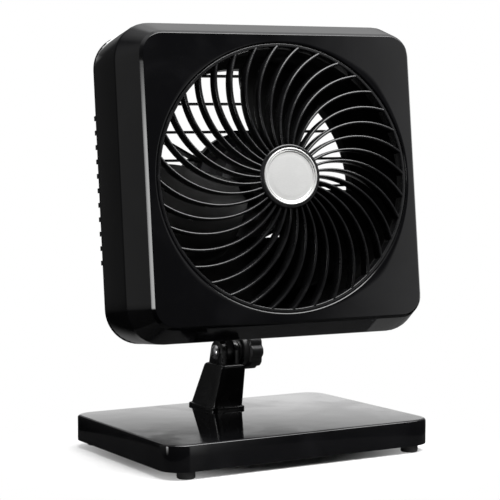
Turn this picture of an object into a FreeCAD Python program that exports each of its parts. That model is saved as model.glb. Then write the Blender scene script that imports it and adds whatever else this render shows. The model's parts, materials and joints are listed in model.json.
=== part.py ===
"""Box fan on a tilting neck, with a flat weighted base.

Frame: +Z up, the blades blow towards -Y, +X is the right-hand side seen from
the front.  The origin is the centre of the plane on which the feet stand.
The head is drawn tilted back and turned a little to the left, and is modelled
in its own frame: origin in the middle of the front face, +Y along the fan axis
towards the motor, +Z up.
"""
import FreeCAD, Part
import math
import os
import re
import Sketcher

Vector = FreeCAD.Vector
Placement = FreeCAD.Placement
Rotation = FreeCAD.Rotation
X_AXIS, Y_AXIS, Z_AXIS = Vector(1, 0, 0), Vector(0, 1, 0), Vector(0, 0, 1)

# ---------------------------------------------------------------- driving sizes, in millimetres and degrees
DIMENSIONS = {
    # weighted base
    "base_width": 330, "base_depth": 240, "base_height": 28, "base_corner": 24, "base_edge": 2.5,
    "base_wall": 3, "plate_thick": 2.5, "plate_gap": 0.3,
    "foot_height": 8, "foot_radius": 9.5, "stud_radius": 4,
    "foot_inset_x": 25, "foot_inset_y": 13, "boss_radius": 5, "boss_x": 118, "boss_y": 82,
    "press_gap": 0.02, "running_gap": 0.05, "side_gap": 0.3,
    # screws: shank holes first, then each size's head, cap, shank and length
    "pilot_hole": 1.85, "small_hole": 2.05, "neck_hole": 2.55,
    "screw_head": 4, "screw_cap": 2.4, "screw_shank": 1.8, "base_screw": 15, "housing_screw": 20,
    "neck_head": 4.5, "neck_cap": 2.6, "neck_shank": 2.5, "neck_screw": 22, "neck_screw_hole": 17,
    "motor_head": 3.6, "motor_cap": 2.2, "motor_screw_shank": 2, "motor_screw": 15, "pilot_depth": 18,
    "ballast_width": 190, "ballast_depth": 112, "ballast_thick": 7,
    "backing_width": 64, "backing_depth": 62, "backing_thick": 3,
    # neck column with its two ears
    "neck_y": 77.5, "neck_width": 38, "neck_depth": 57, "flange_rim": 3, "flange_thick": 3.5,
    "shoulder_height": 53, "shoulder_width": 31.4, "shoulder_depth": 44, "neck_lean": 20.5, "neck_corner": 4,
    "pivot_height": 66, "ear_radius": 13.6, "ear_width": 23.4, "slot_width": 10, "ear_root": 19.5,
    "ear_sink": 4,
    "screw_spread": 9, "front_screw": 16, "rear_screw": 15,
    # clamp bolt and knob
    "bolt_radius": 3, "bolt_head": 8.6, "bolt_dome": 4.5, "bolt_reach": 25, "washer_radius": 9,
    "washer_thick": 1.2, "knob_radius": 21.5, "collar_radius": 17, "collar_length": 10, "grip_length": 16,
    "lobe_radius": 4.6, "insert_radius": 5.5, "insert_length": 8, "insert_cover": 2,
    "collar_neck": 12.4, "collar_neck_length": 3.5, "bolt_end_gap": 0.6, "knob_edge": 1.5,
    # tilting arm and swivel socket
    "knuckle_radius": 12.5, "knuckle_width": 8.4, "friction_thick": 0.7, "friction_radius": 11,
    "arm_start": 17, "arm_top": 104, "arm_width": 22, "arm_depth": 26, "socket_radius": 17,
    "socket_foot": 96, "socket_top": 126, "bush_outer": 8, "bush_height": 26.5, "socket_bore": 27,
    "pin_radius": 6, "pin_head": 10, "pin_end": 100.5, "swivel_depth": 201, "axis_height": 182.3,
    # square housing
    "front_half": 147.5, "front_corner": 21, "chamfer_half": 150.5, "chamfer_corner": 24, "chamfer_depth": 4,
    "housing_half": 165, "housing_corner": 38, "bevel_depth": 41, "housing_depth": 114, "shell": 3,
    "opening": 139, "post_radius": 5, "post_place": 134,
    # front grille and its badge
    "grille_outer": 138.7, "grille_inner": 135, "grille_back": 15, "vane_thick": 3, "vane_depth": 15,
    "vane_arc": 91, "vane_root": 30.5, "hub_radius": 33, "hub_front": 12, "hub_back": 2, "rim_front": 1,
    "badge_radius": 27.5, "badge_thick": 1.5, "bezel_radius": 29.2, "badge_dish": 2,
    "dome_outer": 100, "dome_outer_rise": 3, "dome_inner": 66, "dome_inner_rise": 8, "trim_room": 5,
    # air shroud, rear cover and its guard
    "shroud_outer": 141.3, "shroud_inner": 138.8, "shroud_taper": 80, "intake": 130, "collar_wall": 2.5,
    "rear_step": 118, "rear_back": 128, "seat_wall": 7.5,
    "rear_half": 156, "rear_corner": 30, "bar_pitch": 30.8, "bar_thick": 2.2, "bar_depth": 8,
    "spoke_width": 3, "centre_ring": 60, "centre_bore": 45.4, "fin_pitch": 15.4, "fin_thick": 5,
    "fin_reach": 8, "panel_top": 56, "panel_thick": 2.5,
    # motor
    "motor_radius": 45, "motor_wall": 2, "motor_front": 84, "motor_back": 142,
    "motor_flange": 56, "flange_plate": 3, "stator_outer": 43, "stator_inner": 24, "stack_front": 99,
    "stack_back": 127, "coil_outer": 38, "coil_inner": 27, "coil_length": 8, "rotor_radius": 23.5,
    "shaft_radius": 4, "shaft_front": 24, "shaft_back": 148, "bearing_radius": 9, "bearing_length": 7,
    "motor_bevel": 6, "bearing_wall": 2, "motor_cap_rise": 9, "flange_circle": 51.5,
    # pod behind the motor
    "pod_radius": 52, "pod_wall": 2.5, "pod_front": 128, "pod_shoulder": 206, "pod_back": 224,
    "pod_face": 34, "swivel_boss": 16, "boss_bottom": 56, "boss_top": 38,
    "capacitor_length": 38, "capacitor_width": 17, "capacitor_height": 24, "switch_size": 26,
    "switch_depth": 16, "capacitor_side": 8, "capacitor_gap": 12, "vent_height": 2.4, "vent_pitch": 5,
    "vent_top": 8, "vent_left": 20, "vent_right": 6, "pin_cap": 3,
    "speed_height": 13, "speed_radius": 12.5, "speed_length": 13, "stem_radius": 3,
    "inlet_radius": 6.5, "inlet_bore": 3.4, "inlet_place": 24,
    # blades
    "blade_tip": 127, "blade_root": 28, "blade_plane": 52, "blade_thick": 2.2, "fan_hub": 31,
    "fan_hub_front": 36, "fan_hub_back": 72, "blade_pitch": 22.5, "nut_radius": 11, "nut_length": 9,
    "fan_wall": 2, "fan_boss": 10,
}
TILT_BACK = 5.7
TURN_LEFT = 8.85
VANES = 36
BLADES = 3
BLADE_START = 12
LOBES = 8
SIDE_FINS = 5
GUARD_BARS = 4
FIRST_SPOKE = 60
NECK_SCREWS = [("-screw_spread", "neck_y-front_screw"), ("screw_spread", "neck_y-front_screw"),
               ("0", "neck_y+rear_screw")]
# one blade before it is pitched: across it and outwards from the fan's axis
PETAL = [("-12", "blade_root-4"), ("12", "blade_root-4"), ("38", "60"), ("57", "86"), ("60", "101"),
         ("50", "blade_tip*0.895"), ("28", "blade_tip*0.966"), ("0", "blade_tip*0.998"),
         ("-28", "blade_tip*0.966"), ("-50", "blade_tip*0.895"), ("-60", "101"), ("-57", "86"), ("-38", "60")]

os.makedirs("parts", exist_ok=True)
doc = FreeCAD.newDocument("box_fan")
sheet = doc.addObject("Spreadsheet::Sheet", "Sizes")
for row, (alias, value) in enumerate(DIMENSIONS.items(), start=1):
    sheet.set(f"A{row}", alias)
    sheet.set(f"B{row}", str(value))
    sheet.setAlias(f"B{row}", alias)
doc.recompute()

pieces = []


# ---------------------------------------------------------------- helpers
def size(text):
    """The number that a sum of the sheet's names stands for."""
    return float(cell_value(text))


def cells(text):
    """The same sum with each name written as a cell of the sheet."""
    return re.sub(r"[a-z][a-z_]{3,}", lambda name: "Sizes." + name.group(), text)


def cell_value(text):
    value = sheet.evalExpression(cells(text))
    return getattr(value, "Value", value)


def bind(thing, prop, text):
    """Set a property from the sheet and keep it bound to it."""
    thing.setExpression(prop, cells(text))


def keep(thing, label, place=None):
    """Name a finished piece, put it in its place and list it for export."""
    thing.Label = label
    if place is not None:
        thing.Placement = place
    pieces.append(thing)
    return thing


def new_body(name):
    return doc.addObject("PartDesign::Body", name)


def new_sketch(body, role, shift=("0", "0", "0"), turn=None):
    """A sketch on one of the body's own origin planes, moved along its axes by sums of sheet names."""
    plane = next(item for item in body.Origin.OriginFeatures if item.Role == role)
    sketch = body.newObject("Sketcher::SketchObject", body.Name + "_outline")
    sketch.AttachmentSupport = [(plane, "")]
    sketch.MapMode = "FlatFace"
    sketch.AttachmentOffset = Placement(Vector(*(size(text) for text in shift)), turn or Rotation())
    for letter, text in zip("xyz", shift):
        if text != "0":
            bind(sketch, "AttachmentOffset.Base." + letter, text)
    return sketch


def limit(sketch, *terms, text):
    """A driving constraint whose value comes from the sheet."""
    index = sketch.addConstraint(Sketcher.Constraint(*terms, size(text)))
    bind(sketch, f"Constraints[{index}]", text)


def outline(sketch, points):
    """A closed outline of straight lines, each corner bound to two sums of sheet names."""
    spots = [Vector(size(across), size(up), 0) for across, up in points]
    count = len(spots)
    first = sketch.GeometryCount
    for i in range(count):
        sketch.addGeometry(Part.LineSegment(spots[i], spots[(i + 1) % count]), False)
    for i in range(count):
        sketch.addConstraint(Sketcher.Constraint("Coincident", first + i, 2, first + (i + 1) % count, 1))
    for i, (across, up) in enumerate(points):
        limit(sketch, "DistanceX", -1, 1, first + i, 1, text=across)
        limit(sketch, "DistanceY", -1, 1, first + i, 1, text=up)


def circle(sketch, radius, across="0", up="0"):
    centre = Vector(size(across), size(up), 0)
    index = sketch.addGeometry(Part.Circle(centre, Z_AXIS, size(radius)), False)
    limit(sketch, "DistanceX", -1, 1, index, 3, text=across)
    limit(sketch, "DistanceY", -1, 1, index, 3, text=up)
    limit(sketch, "Radius", index, text=radius)


def rounded_rectangle(sketch, half_width, half_height, corner):
    """Four lines and four quarter circles round the sketch's origin."""
    w, h, r = size(half_width), size(half_height), size(corner)
    quarter = math.pi / 2
    turns = [(w - r, r - h, 3), (w - r, h - r, 0), (r - w, h - r, 1), (r - w, r - h, 2)]
    ends = [((r - w, -h), (w - r, -h)), ((w, r - h), (w, h - r)),
            ((w - r, h), (r - w, h)), ((-w, h - r), (-w, r - h))]
    first = sketch.GeometryCount
    for (start, end), (x, y, step) in zip(ends, turns):
        sketch.addGeometry(Part.LineSegment(Vector(*start, 0), Vector(*end, 0)), False)
        arc = Part.ArcOfCircle(Part.Circle(Vector(x, y, 0), Z_AXIS, r), step * quarter, (step + 1) * quarter)
        sketch.addGeometry(arc, False)
    for i in range(8):
        sketch.addConstraint(Sketcher.Constraint("Tangent", first + i, 2, first + (i + 1) % 8, 1))
    for i, kind in ((0, "Horizontal"), (2, "Vertical"), (4, "Horizontal"), (6, "Vertical")):
        sketch.addConstraint(Sketcher.Constraint(kind, first + i))
    for i in (3, 5, 7):
        sketch.addConstraint(Sketcher.Constraint("Equal", first + 1, first + i))
    limit(sketch, "Radius", first + 1, text=corner)
    for i, text in ((0, half_height), (2, half_width), (4, half_height), (6, half_width)):
        limit(sketch, "Distance", -1, 1, first + i, text=text)


def pad(body, sketch, length, backwards=False, both_ways=False):
    feature = body.newObject("PartDesign::Pad", body.Name + "_pad")
    feature.Profile = sketch
    bind(feature, "Length", length)
    feature.Reversed = backwards
    feature.Midplane = both_ways
    return feature


def pocket(body, sketch, length, backwards=False, both_ways=False):
    """A pocket against its plane's normal, or along it if backwards; it has to remove something."""
    doc.recompute()
    before = body.Shape.Volume
    feature = body.newObject("PartDesign::Pocket", body.Name + "_pocket")
    feature.Profile = sketch
    bind(feature, "Length", length)
    feature.Reversed = backwards
    feature.Midplane = both_ways
    doc.recompute()
    if body.Shape.Volume > before - 0.01:
        raise RuntimeError("a pocket cut nothing in " + body.Name)
    return feature


def loft(body, kind, first, *others):
    feature = body.newObject("PartDesign::" + kind, body.Name + "_loft")
    feature.Profile = first
    feature.Sections = [(section, [""]) for section in others]
    feature.Ruled = True
    doc.recompute()
    return feature


def round_edges(body, radius, wanted):
    """Fillet the edges of the body for which wanted(edge) is true."""
    doc.recompute()
    base = body.Tip
    names = [f"Edge{i}" for i, edge in enumerate(base.Shape.Edges, start=1) if wanted(edge)]
    if not names:
        raise RuntimeError("no edge to round in " + body.Name)
    feature = body.newObject("PartDesign::Fillet", body.Name + "_fillet")
    feature.Base = (base, names)
    bind(feature, "Radius", radius)
    doc.recompute()
    return feature


def revolve(body, points):
    """Turn an outline of (radius, place along the axis) about the body's Y axis."""
    sketch = new_sketch(body, "XY_Plane")
    outline(sketch, points)
    feature = body.newObject("PartDesign::Revolution", body.Name + "_turned")
    feature.Profile = sketch
    feature.ReferenceAxis = (sketch, ["V_Axis"])
    feature.Angle = 360
    return feature


def repeat_round(body, features, count):
    """Repeat features about the body's Y axis, and make that pattern the body's result."""
    axis = next(item for item in body.Origin.OriginFeatures if item.Role == "Y_Axis")
    pattern = body.newObject("PartDesign::PolarPattern", body.Name + "_round")
    pattern.Originals = features
    pattern.Axis = (axis, [""])
    pattern.Angle = 360
    pattern.Occurrences = count
    body.Tip = pattern
    return pattern


def turned(label, points, place=None):
    body = new_body(label)
    revolve(body, points)
    return keep(body, label, place)


def ring(label, outer, inner, start, end, place=None):
    """A turned ring from start to end along its axis."""
    return turned(label, [(inner, start), (outer, start), (outer, end), (inner, end)], place)


def several(label, points, places):
    """One node that holds the same turned piece once at each place."""
    copies = []
    for number, place in enumerate(places, start=1):
        body = new_body(f"{label}_{number}")
        revolve(body, points)
        body.Placement = place
        copies.append(body)
    group = doc.addObject("Part::Compound", label)
    group.Links = copies
    return keep(group, label)


def block(label, length, width, height, place):
    """A plain box whose corner is at the placement."""
    box = doc.addObject("Part::Box", label)
    for prop, text in (("Length", length), ("Width", width), ("Height", height)):
        bind(box, prop, text)
    return keep(box, label, place)


# ---------------------------------------------------------------- frames of the moving groups
ALONG_X = Rotation(Z_AXIS, -90)
ALONG_Z = Rotation(X_AXIS, 90)
BASE = Placement(Vector(0, 0, size("foot_height")), Rotation())
DECK = Placement(Vector(0, 0, size("foot_height+base_height")), Rotation())
PIVOT = DECK * Placement(Vector(0, size("neck_y-neck_lean"), size("pivot_height")), Rotation())
ARM = PIVOT * Placement(Vector(), Rotation(X_AXIS, -TILT_BACK))
TO_FRONT = Placement(Vector(0, -size("swivel_depth"), size("axis_height")), Rotation())
HEAD = ARM * Placement(Vector(), Rotation(Z_AXIS, -TURN_LEFT)) * TO_FRONT
SWIVEL = HEAD * Placement(Vector(0, size("swivel_depth"), -size("axis_height")), ALONG_Z)
CLAMP = PIVOT * Placement(Vector(), ALONG_X)


def screw(head, head_length, shank, shank_length):
    """Outline of a screw: flat under its head at 0, shank along +Y."""
    return [("0", "-" + head_length), (head, "-" + head_length), (head, "0"), (shank, "0"),
            (shank, shank_length), ("0", shank_length)]


def four_corners(x, y):
    return [(sx * x, sy * y) for sx in (-1, 1) for sy in (-1, 1)]


# ---------------------------------------------------------------- base
def base_cover():
    body = new_body("base_cover")
    sketch = new_sketch(body, "XY_Plane")
    rounded_rectangle(sketch, "base_width/2", "base_depth/2", "base_corner")
    pad(body, sketch, "base_height")
    top = size("base_height")
    round_edges(body, "base_edge", lambda edge: edge.BoundBox.ZMin > top - 0.01)
    inside = new_sketch(body, "XY_Plane")
    rounded_rectangle(inside, "base_width/2-base_wall", "base_depth/2-base_wall", "base_corner-base_wall")
    pocket(body, inside, "base_height-base_wall", backwards=True)
    bosses = new_sketch(body, "XY_Plane", ("0", "0", "plate_thick"))
    holes = new_sketch(body, "XY_Plane", ("0", "0", "plate_thick"))
    for sx, sy in four_corners(1, 1):
        circle(bosses, "boss_radius", f"{sx}*boss_x", f"{sy}*boss_y")
        circle(holes, "pilot_hole", f"{sx}*boss_x", f"{sy}*boss_y")
    pad(body, bosses, "base_height-plate_thick-base_wall/2")
    pocket(body, holes, "base_screw-1", backwards=True)
    neck_holes = new_sketch(body, "XY_Plane")
    for across, along in NECK_SCREWS:
        circle(neck_holes, "neck_hole", across, along)
    pocket(body, neck_holes, "base_height", backwards=True)
    keep(body, "base_cover", BASE)


def base_bottom_plate():
    body = new_body("base_bottom_plate")
    sketch = new_sketch(body, "XY_Plane")
    rounded_rectangle(sketch, "base_width/2-base_wall-plate_gap", "base_depth/2-base_wall-plate_gap",
                      "base_corner-base_wall-plate_gap")
    pad(body, sketch, "plate_thick")
    holes = new_sketch(body, "XY_Plane")
    for sx, sy in four_corners(1, 1):
        circle(holes, "pilot_hole", f"{sx}*boss_x", f"{sy}*boss_y")
        circle(holes, "stud_radius+press_gap", f"{sx}*(base_width/2-foot_inset_x)",
               f"{sy}*(base_depth/2-foot_inset_y)")
    pocket(body, holes, "plate_thick", backwards=True)
    keep(body, "base_bottom_plate", BASE)


def base_small_parts():
    x, y = size("base_width/2-foot_inset_x"), size("base_depth/2-foot_inset_y")
    foot = [("0", "0"), ("foot_radius-1", "0"), ("foot_radius", "1"), ("foot_radius", "foot_height"),
            ("stud_radius", "foot_height"), ("stud_radius", "foot_height+plate_thick"),
            ("0", "foot_height+plate_thick")]
    several("base_feet", foot, [Placement(Vector(px, py, 0), ALONG_Z) for px, py in four_corners(x, y)])
    corners = four_corners(size("boss_x"), size("boss_y"))
    places = [BASE * Placement(Vector(px, py, 0), ALONG_Z) for px, py in corners]
    several("base_screws", screw("screw_head", "screw_cap", "screw_shank", "base_screw"), places)
    corner = Vector(-size("ballast_width/2"), -size("ballast_depth/2"), size("plate_thick"))
    block("base_ballast", "ballast_width", "ballast_depth", "ballast_thick",
          BASE * Placement(corner, Rotation()))


def neck_backing_plate():
    body = new_body("neck_backing_plate")
    sketch = new_sketch(body, "XY_Plane", ("0", "neck_y", "base_height-base_wall-backing_thick"))
    rounded_rectangle(sketch, "backing_width/2", "backing_depth/2", "neck_corner")
    pad(body, sketch, "backing_thick")
    holes = new_sketch(body, "XY_Plane", ("0", "0", "base_height-base_wall-backing_thick"))
    for across, along in NECK_SCREWS:
        circle(holes, "neck_hole", across, along)
    pocket(body, holes, "backing_thick", backwards=True)
    keep(body, "neck_backing_plate", BASE)
    under = size("base_height-base_wall-backing_thick")
    places = [BASE * Placement(Vector(size(x), size(y), under), ALONG_Z) for x, y in NECK_SCREWS]
    several("neck_screws", screw("neck_head", "neck_cap", "neck_shank", "neck_screw"), places)


# ---------------------------------------------------------------- neck and clamp
def ear_outline(sketch):
    """A half-round top on a foot that is wider at the back, all tangent."""
    centre = Vector(-size("neck_lean"), size("pivot_height"), 0)
    radius = size("ear_radius")
    front = Vector(centre.x - radius, centre.y, 0)
    foot_front = Vector(front.x, size("shoulder_height-ear_sink"), 0)
    foot_back = Vector(centre.x + size("ear_root"), foot_front.y, 0)
    reach = foot_back - centre
    lean = math.atan2(reach.y, reach.x) + math.acos(radius / reach.Length)
    back = centre + Vector(radius * math.cos(lean), radius * math.sin(lean), 0)
    sketch.addGeometry(Part.ArcOfCircle(Part.Circle(centre, Z_AXIS, radius), lean, math.pi), False)
    for start, end in ((front, foot_front), (foot_front, foot_back), (foot_back, back)):
        sketch.addGeometry(Part.LineSegment(start, end), False)
    sketch.addConstraint(Sketcher.Constraint("Tangent", 0, 2, 1, 1))
    sketch.addConstraint(Sketcher.Constraint("Coincident", 1, 2, 2, 1))
    sketch.addConstraint(Sketcher.Constraint("Coincident", 2, 2, 3, 1))
    sketch.addConstraint(Sketcher.Constraint("Tangent", 3, 2, 0, 1))
    sketch.addConstraint(Sketcher.Constraint("Vertical", 1))
    limit(sketch, "Radius", 0, text="ear_radius")
    limit(sketch, "DistanceX", -1, 1, 0, 3, text="-neck_lean")
    limit(sketch, "DistanceY", -1, 1, 0, 3, text="pivot_height")
    limit(sketch, "DistanceY", -1, 1, 1, 2, text="shoulder_height-ear_sink")
    limit(sketch, "DistanceY", -1, 1, 2, 2, text="shoulder_height-ear_sink")
    limit(sketch, "DistanceX", -1, 1, 2, 2, text="ear_root-neck_lean")


def neck_column():
    body = new_body("neck_column")
    flange = new_sketch(body, "XY_Plane")
    rounded_rectangle(flange, "neck_width/2+flange_rim", "neck_depth/2+flange_rim", "neck_corner+flange_rim")
    pad(body, flange, "flange_thick")
    foot = new_sketch(body, "XY_Plane", ("0", "0", "flange_thick/2"))
    rounded_rectangle(foot, "neck_width/2", "neck_depth/2", "neck_corner")
    shoulder = new_sketch(body, "XY_Plane", ("0", "-neck_lean", "shoulder_height"))
    rounded_rectangle(shoulder, "shoulder_width/2", "shoulder_depth/2", "neck_corner")
    loft(body, "AdditiveLoft", foot, shoulder)
    top = size("shoulder_height")
    round_edges(body, "neck_corner-1", lambda edge: edge.BoundBox.ZMin > top - 0.01)
    ears = new_sketch(body, "YZ_Plane")
    ear_outline(ears)
    pad(body, ears, "ear_width", both_ways=True)
    slot = new_sketch(body, "XZ_Plane")
    above = "pivot_height+2*ear_radius"
    outline(slot, [("-slot_width/2", "shoulder_height"), ("slot_width/2", "shoulder_height"),
                   ("slot_width/2", above), ("-slot_width/2", above)])
    pocket(body, slot, "4*neck_depth", both_ways=True)
    bore = new_sketch(body, "YZ_Plane")
    circle(bore, "bolt_radius+press_gap", "-neck_lean", "pivot_height")
    pocket(body, bore, "2*neck_width", both_ways=True)
    holes = new_sketch(body, "XY_Plane")
    for across, along in NECK_SCREWS:
        circle(holes, "neck_hole", across, along + "-neck_y")
    pocket(body, holes, "neck_screw_hole", backwards=True)
    keep(body, "neck_column", DECK * Placement(Vector(0, size("neck_y"), 0), Rotation()))


def clamp():
    left = "-ear_width/2"
    turned("clamp_bolt", [("0", left + "-bolt_dome"), ("bolt_head*0.55", left + "-bolt_dome*0.85"),
                          ("bolt_head*0.9", left + "-bolt_dome*0.5"), ("bolt_head", left + "-1"),
                          ("bolt_head", left), ("bolt_radius", left),
                          ("bolt_radius", "ear_width/2+bolt_reach"), ("0", "ear_width/2+bolt_reach")], CLAMP)
    ring("clamp_washer", "washer_radius", "bolt_radius+press_gap", "ear_width/2", "ear_width/2+washer_thick",
         CLAMP)
    start = "ear_width/2+washer_thick+side_gap"
    nut_start = start + "+insert_cover"
    nut_end = nut_start + "+insert_length"
    bore = "bolt_radius+running_gap"
    body = new_body("clamp_knob")
    neck_end = start + "+collar_neck_length"
    bolt_end = "ear_width/2+bolt_reach+bolt_end_gap"
    revolve(body, [(bore, start), ("collar_neck", start), ("collar_neck", neck_end),
                   ("collar_radius", neck_end), ("collar_radius", start + "+collar_length"),
                   ("knob_radius", start + "+collar_length+1"),
                   ("knob_radius", start + "+collar_length+grip_length-knob_edge"),
                   ("knob_radius-knob_edge", start + "+collar_length+grip_length"),
                   ("0", start + "+collar_length+grip_length"), ("0", bolt_end), (bore, bolt_end),
                   (bore, nut_end), ("insert_radius", nut_end),
                   ("insert_radius", nut_start), (bore, nut_start)])
    half_step = Rotation(Z_AXIS, 180 / LOBES)
    flute = new_sketch(body, "XZ_Plane", ("0", "0", f"-({start}+collar_length)"), half_step)
    circle(flute, "lobe_radius", "knob_radius+lobe_radius*0.42", "0")
    cut = pocket(body, flute, "grip_length+1")
    repeat_round(body, [cut], LOBES)
    keep(body, "clamp_knob", CLAMP)
    ring("knob_insert", "insert_radius", bore, nut_start, nut_end, CLAMP)


# ---------------------------------------------------------------- tilting arm
def tilt_arm():
    body = new_body("tilt_arm")
    knuckle = new_sketch(body, "YZ_Plane")
    circle(knuckle, "knuckle_radius")
    pad(body, knuckle, "knuckle_width", both_ways=True)
    web = new_sketch(body, "YZ_Plane")
    outline(web, [("-knuckle_radius*0.8", "0"), ("knuckle_radius*0.8", "0"),
                  ("knuckle_radius*0.8", "arm_start+6"), ("-knuckle_radius*0.8", "arm_start+6")])
    pad(body, web, "knuckle_width", both_ways=True)
    arm = new_sketch(body, "XY_Plane", ("0", "0", "arm_start"))
    rounded_rectangle(arm, "arm_width/2", "arm_depth/2", "neck_corner")
    pad(body, arm, "arm_top-arm_start")
    socket = new_sketch(body, "XY_Plane", ("0", "0", "socket_foot"))
    circle(socket, "socket_radius")
    pad(body, socket, "socket_top-socket_foot")
    bore = new_sketch(body, "XY_Plane", ("0", "0", "socket_top"))
    circle(bore, "bush_outer")
    pocket(body, bore, "socket_bore")
    eye = new_sketch(body, "YZ_Plane")
    circle(eye, "bolt_radius+running_gap")
    pocket(body, eye, "2*knuckle_width", both_ways=True)
    keep(body, "tilt_arm", ARM)
    side = Placement(Vector(), ALONG_X)
    washer = [("bolt_radius+running_gap", "knuckle_width/2"), ("friction_radius", "knuckle_width/2"),
              ("friction_radius", "knuckle_width/2+friction_thick"),
              ("bolt_radius+running_gap", "knuckle_width/2+friction_thick")]
    several("tilt_washers", washer, [ARM * side, ARM * Placement(Vector(), Rotation(Z_AXIS, 90))])
    ring("swivel_bush", "bush_outer", "pin_radius+running_gap", "socket_top-bush_height", "socket_top",
         ARM * Placement(Vector(), ALONG_Z))


# ---------------------------------------------------------------- housing
def housing_section(body, half, corner, depth):
    section = new_sketch(body, "XZ_Plane", ("0", "0", "-" + depth) if depth != "0" else ("0", "0", "0"))
    rounded_rectangle(section, half, half, corner)
    return section


def front_frame():
    body = new_body("front_frame")
    front = housing_section(body, "front_half", "front_corner", "0")
    edge = housing_section(body, "chamfer_half", "chamfer_corner", "chamfer_depth")
    loft(body, "AdditiveLoft", front, edge)
    edge_again = housing_section(body, "chamfer_half", "chamfer_corner", "chamfer_depth")
    full = housing_section(body, "housing_half", "housing_corner", "bevel_depth")
    loft(body, "AdditiveLoft", edge_again, full)
    side = housing_section(body, "housing_half", "housing_corner", "bevel_depth")
    pad(body, side, "housing_depth-bevel_depth", backwards=True)
    inner_front = housing_section(body, "chamfer_half-shell", "chamfer_corner-shell", "shell")
    inner_full = housing_section(body, "housing_half-shell", "housing_corner-shell", "bevel_depth")
    loft(body, "SubtractiveLoft", inner_front, inner_full)
    cavity = housing_section(body, "housing_half-shell", "housing_corner-shell", "bevel_depth")
    pocket(body, cavity, "housing_depth")
    opening = new_sketch(body, "XZ_Plane")
    circle(opening, "opening")
    pocket(body, opening, "housing_depth", both_ways=True)
    posts = new_sketch(body, "XZ_Plane", ("0", "0", "-shell/2"))
    holes = new_sketch(body, "XZ_Plane", ("0", "0", "-housing_depth"))
    for sx, sz in four_corners(1, 1):
        circle(posts, "post_radius", f"{sx}*post_place", f"{sz}*post_place")
        circle(holes, "pilot_hole", f"{sx}*post_place", f"{sz}*post_place")
    pad(body, posts, "housing_depth-shell/2", backwards=True)
    pocket(body, holes, "pilot_depth", backwards=True)
    keep(body, "front_frame", HEAD)


def air_shroud():
    turned("air_shroud", [("shroud_inner", "shell"), ("shroud_outer", "shell"),
                          ("shroud_outer", "shroud_taper"), ("intake+collar_wall", "housing_depth"),
                          ("intake", "housing_depth"), ("shroud_inner", "shroud_taper")], HEAD)


def vane_outline(sketch):
    """A strip between two arcs that leaves the hub along a radius and sweeps clockwise outwards."""
    arc = size("vane_arc")
    root = size("vane_root")
    centre = Vector(root, -arc, 0)
    rim = size("(grille_outer+grille_inner)/2")
    far = math.hypot(centre.x, centre.y)
    toward = math.atan2(-centre.y, -centre.x)
    half = size("vane_thick/2")
    corners = []
    for radius in (arc - half, arc + half):
        swing = math.acos((far**2 + radius**2 - rim**2) / (2 * far * radius))
        corners.append((radius, toward - swing))
    (inner, inner_end), (outer, outer_end) = corners
    start = math.pi / 2
    sketch.addGeometry(Part.ArcOfCircle(Part.Circle(centre, Z_AXIS, outer), outer_end, start), False)
    sketch.addGeometry(Part.ArcOfCircle(Part.Circle(centre, Z_AXIS, inner), inner_end, start), False)

    def spot(radius, angle):
        return centre + Vector(radius * math.cos(angle), radius * math.sin(angle), 0)

    sketch.addGeometry(Part.LineSegment(spot(outer, start), spot(inner, start)), False)
    sketch.addGeometry(Part.LineSegment(spot(inner, inner_end), spot(outer, outer_end)), False)
    for one, end, other, start_point in ((0, 2, 2, 1), (2, 2, 1, 2), (1, 1, 3, 1), (3, 2, 0, 1)):
        sketch.addConstraint(Sketcher.Constraint("Coincident", one, end, other, start_point))
    sketch.addConstraint(Sketcher.Constraint("Coincident", 0, 3, 1, 3))
    limit(sketch, "DistanceX", -1, 1, 0, 3, text="vane_root")
    limit(sketch, "DistanceY", -1, 1, 0, 3, text="-vane_arc")
    limit(sketch, "Radius", 0, text="vane_arc+vane_thick/2")
    limit(sketch, "Radius", 1, text="vane_arc-vane_thick/2")


def trim_round(body, points):
    """Turn an outline about the body's Y axis and take it away."""
    sketch = new_sketch(body, "XY_Plane")
    outline(sketch, points)
    feature = body.newObject("PartDesign::Groove", body.Name + "_trim")
    feature.Profile = sketch
    feature.ReferenceAxis = (sketch, ["V_Axis"])
    feature.Angle = 360
    return feature


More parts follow.
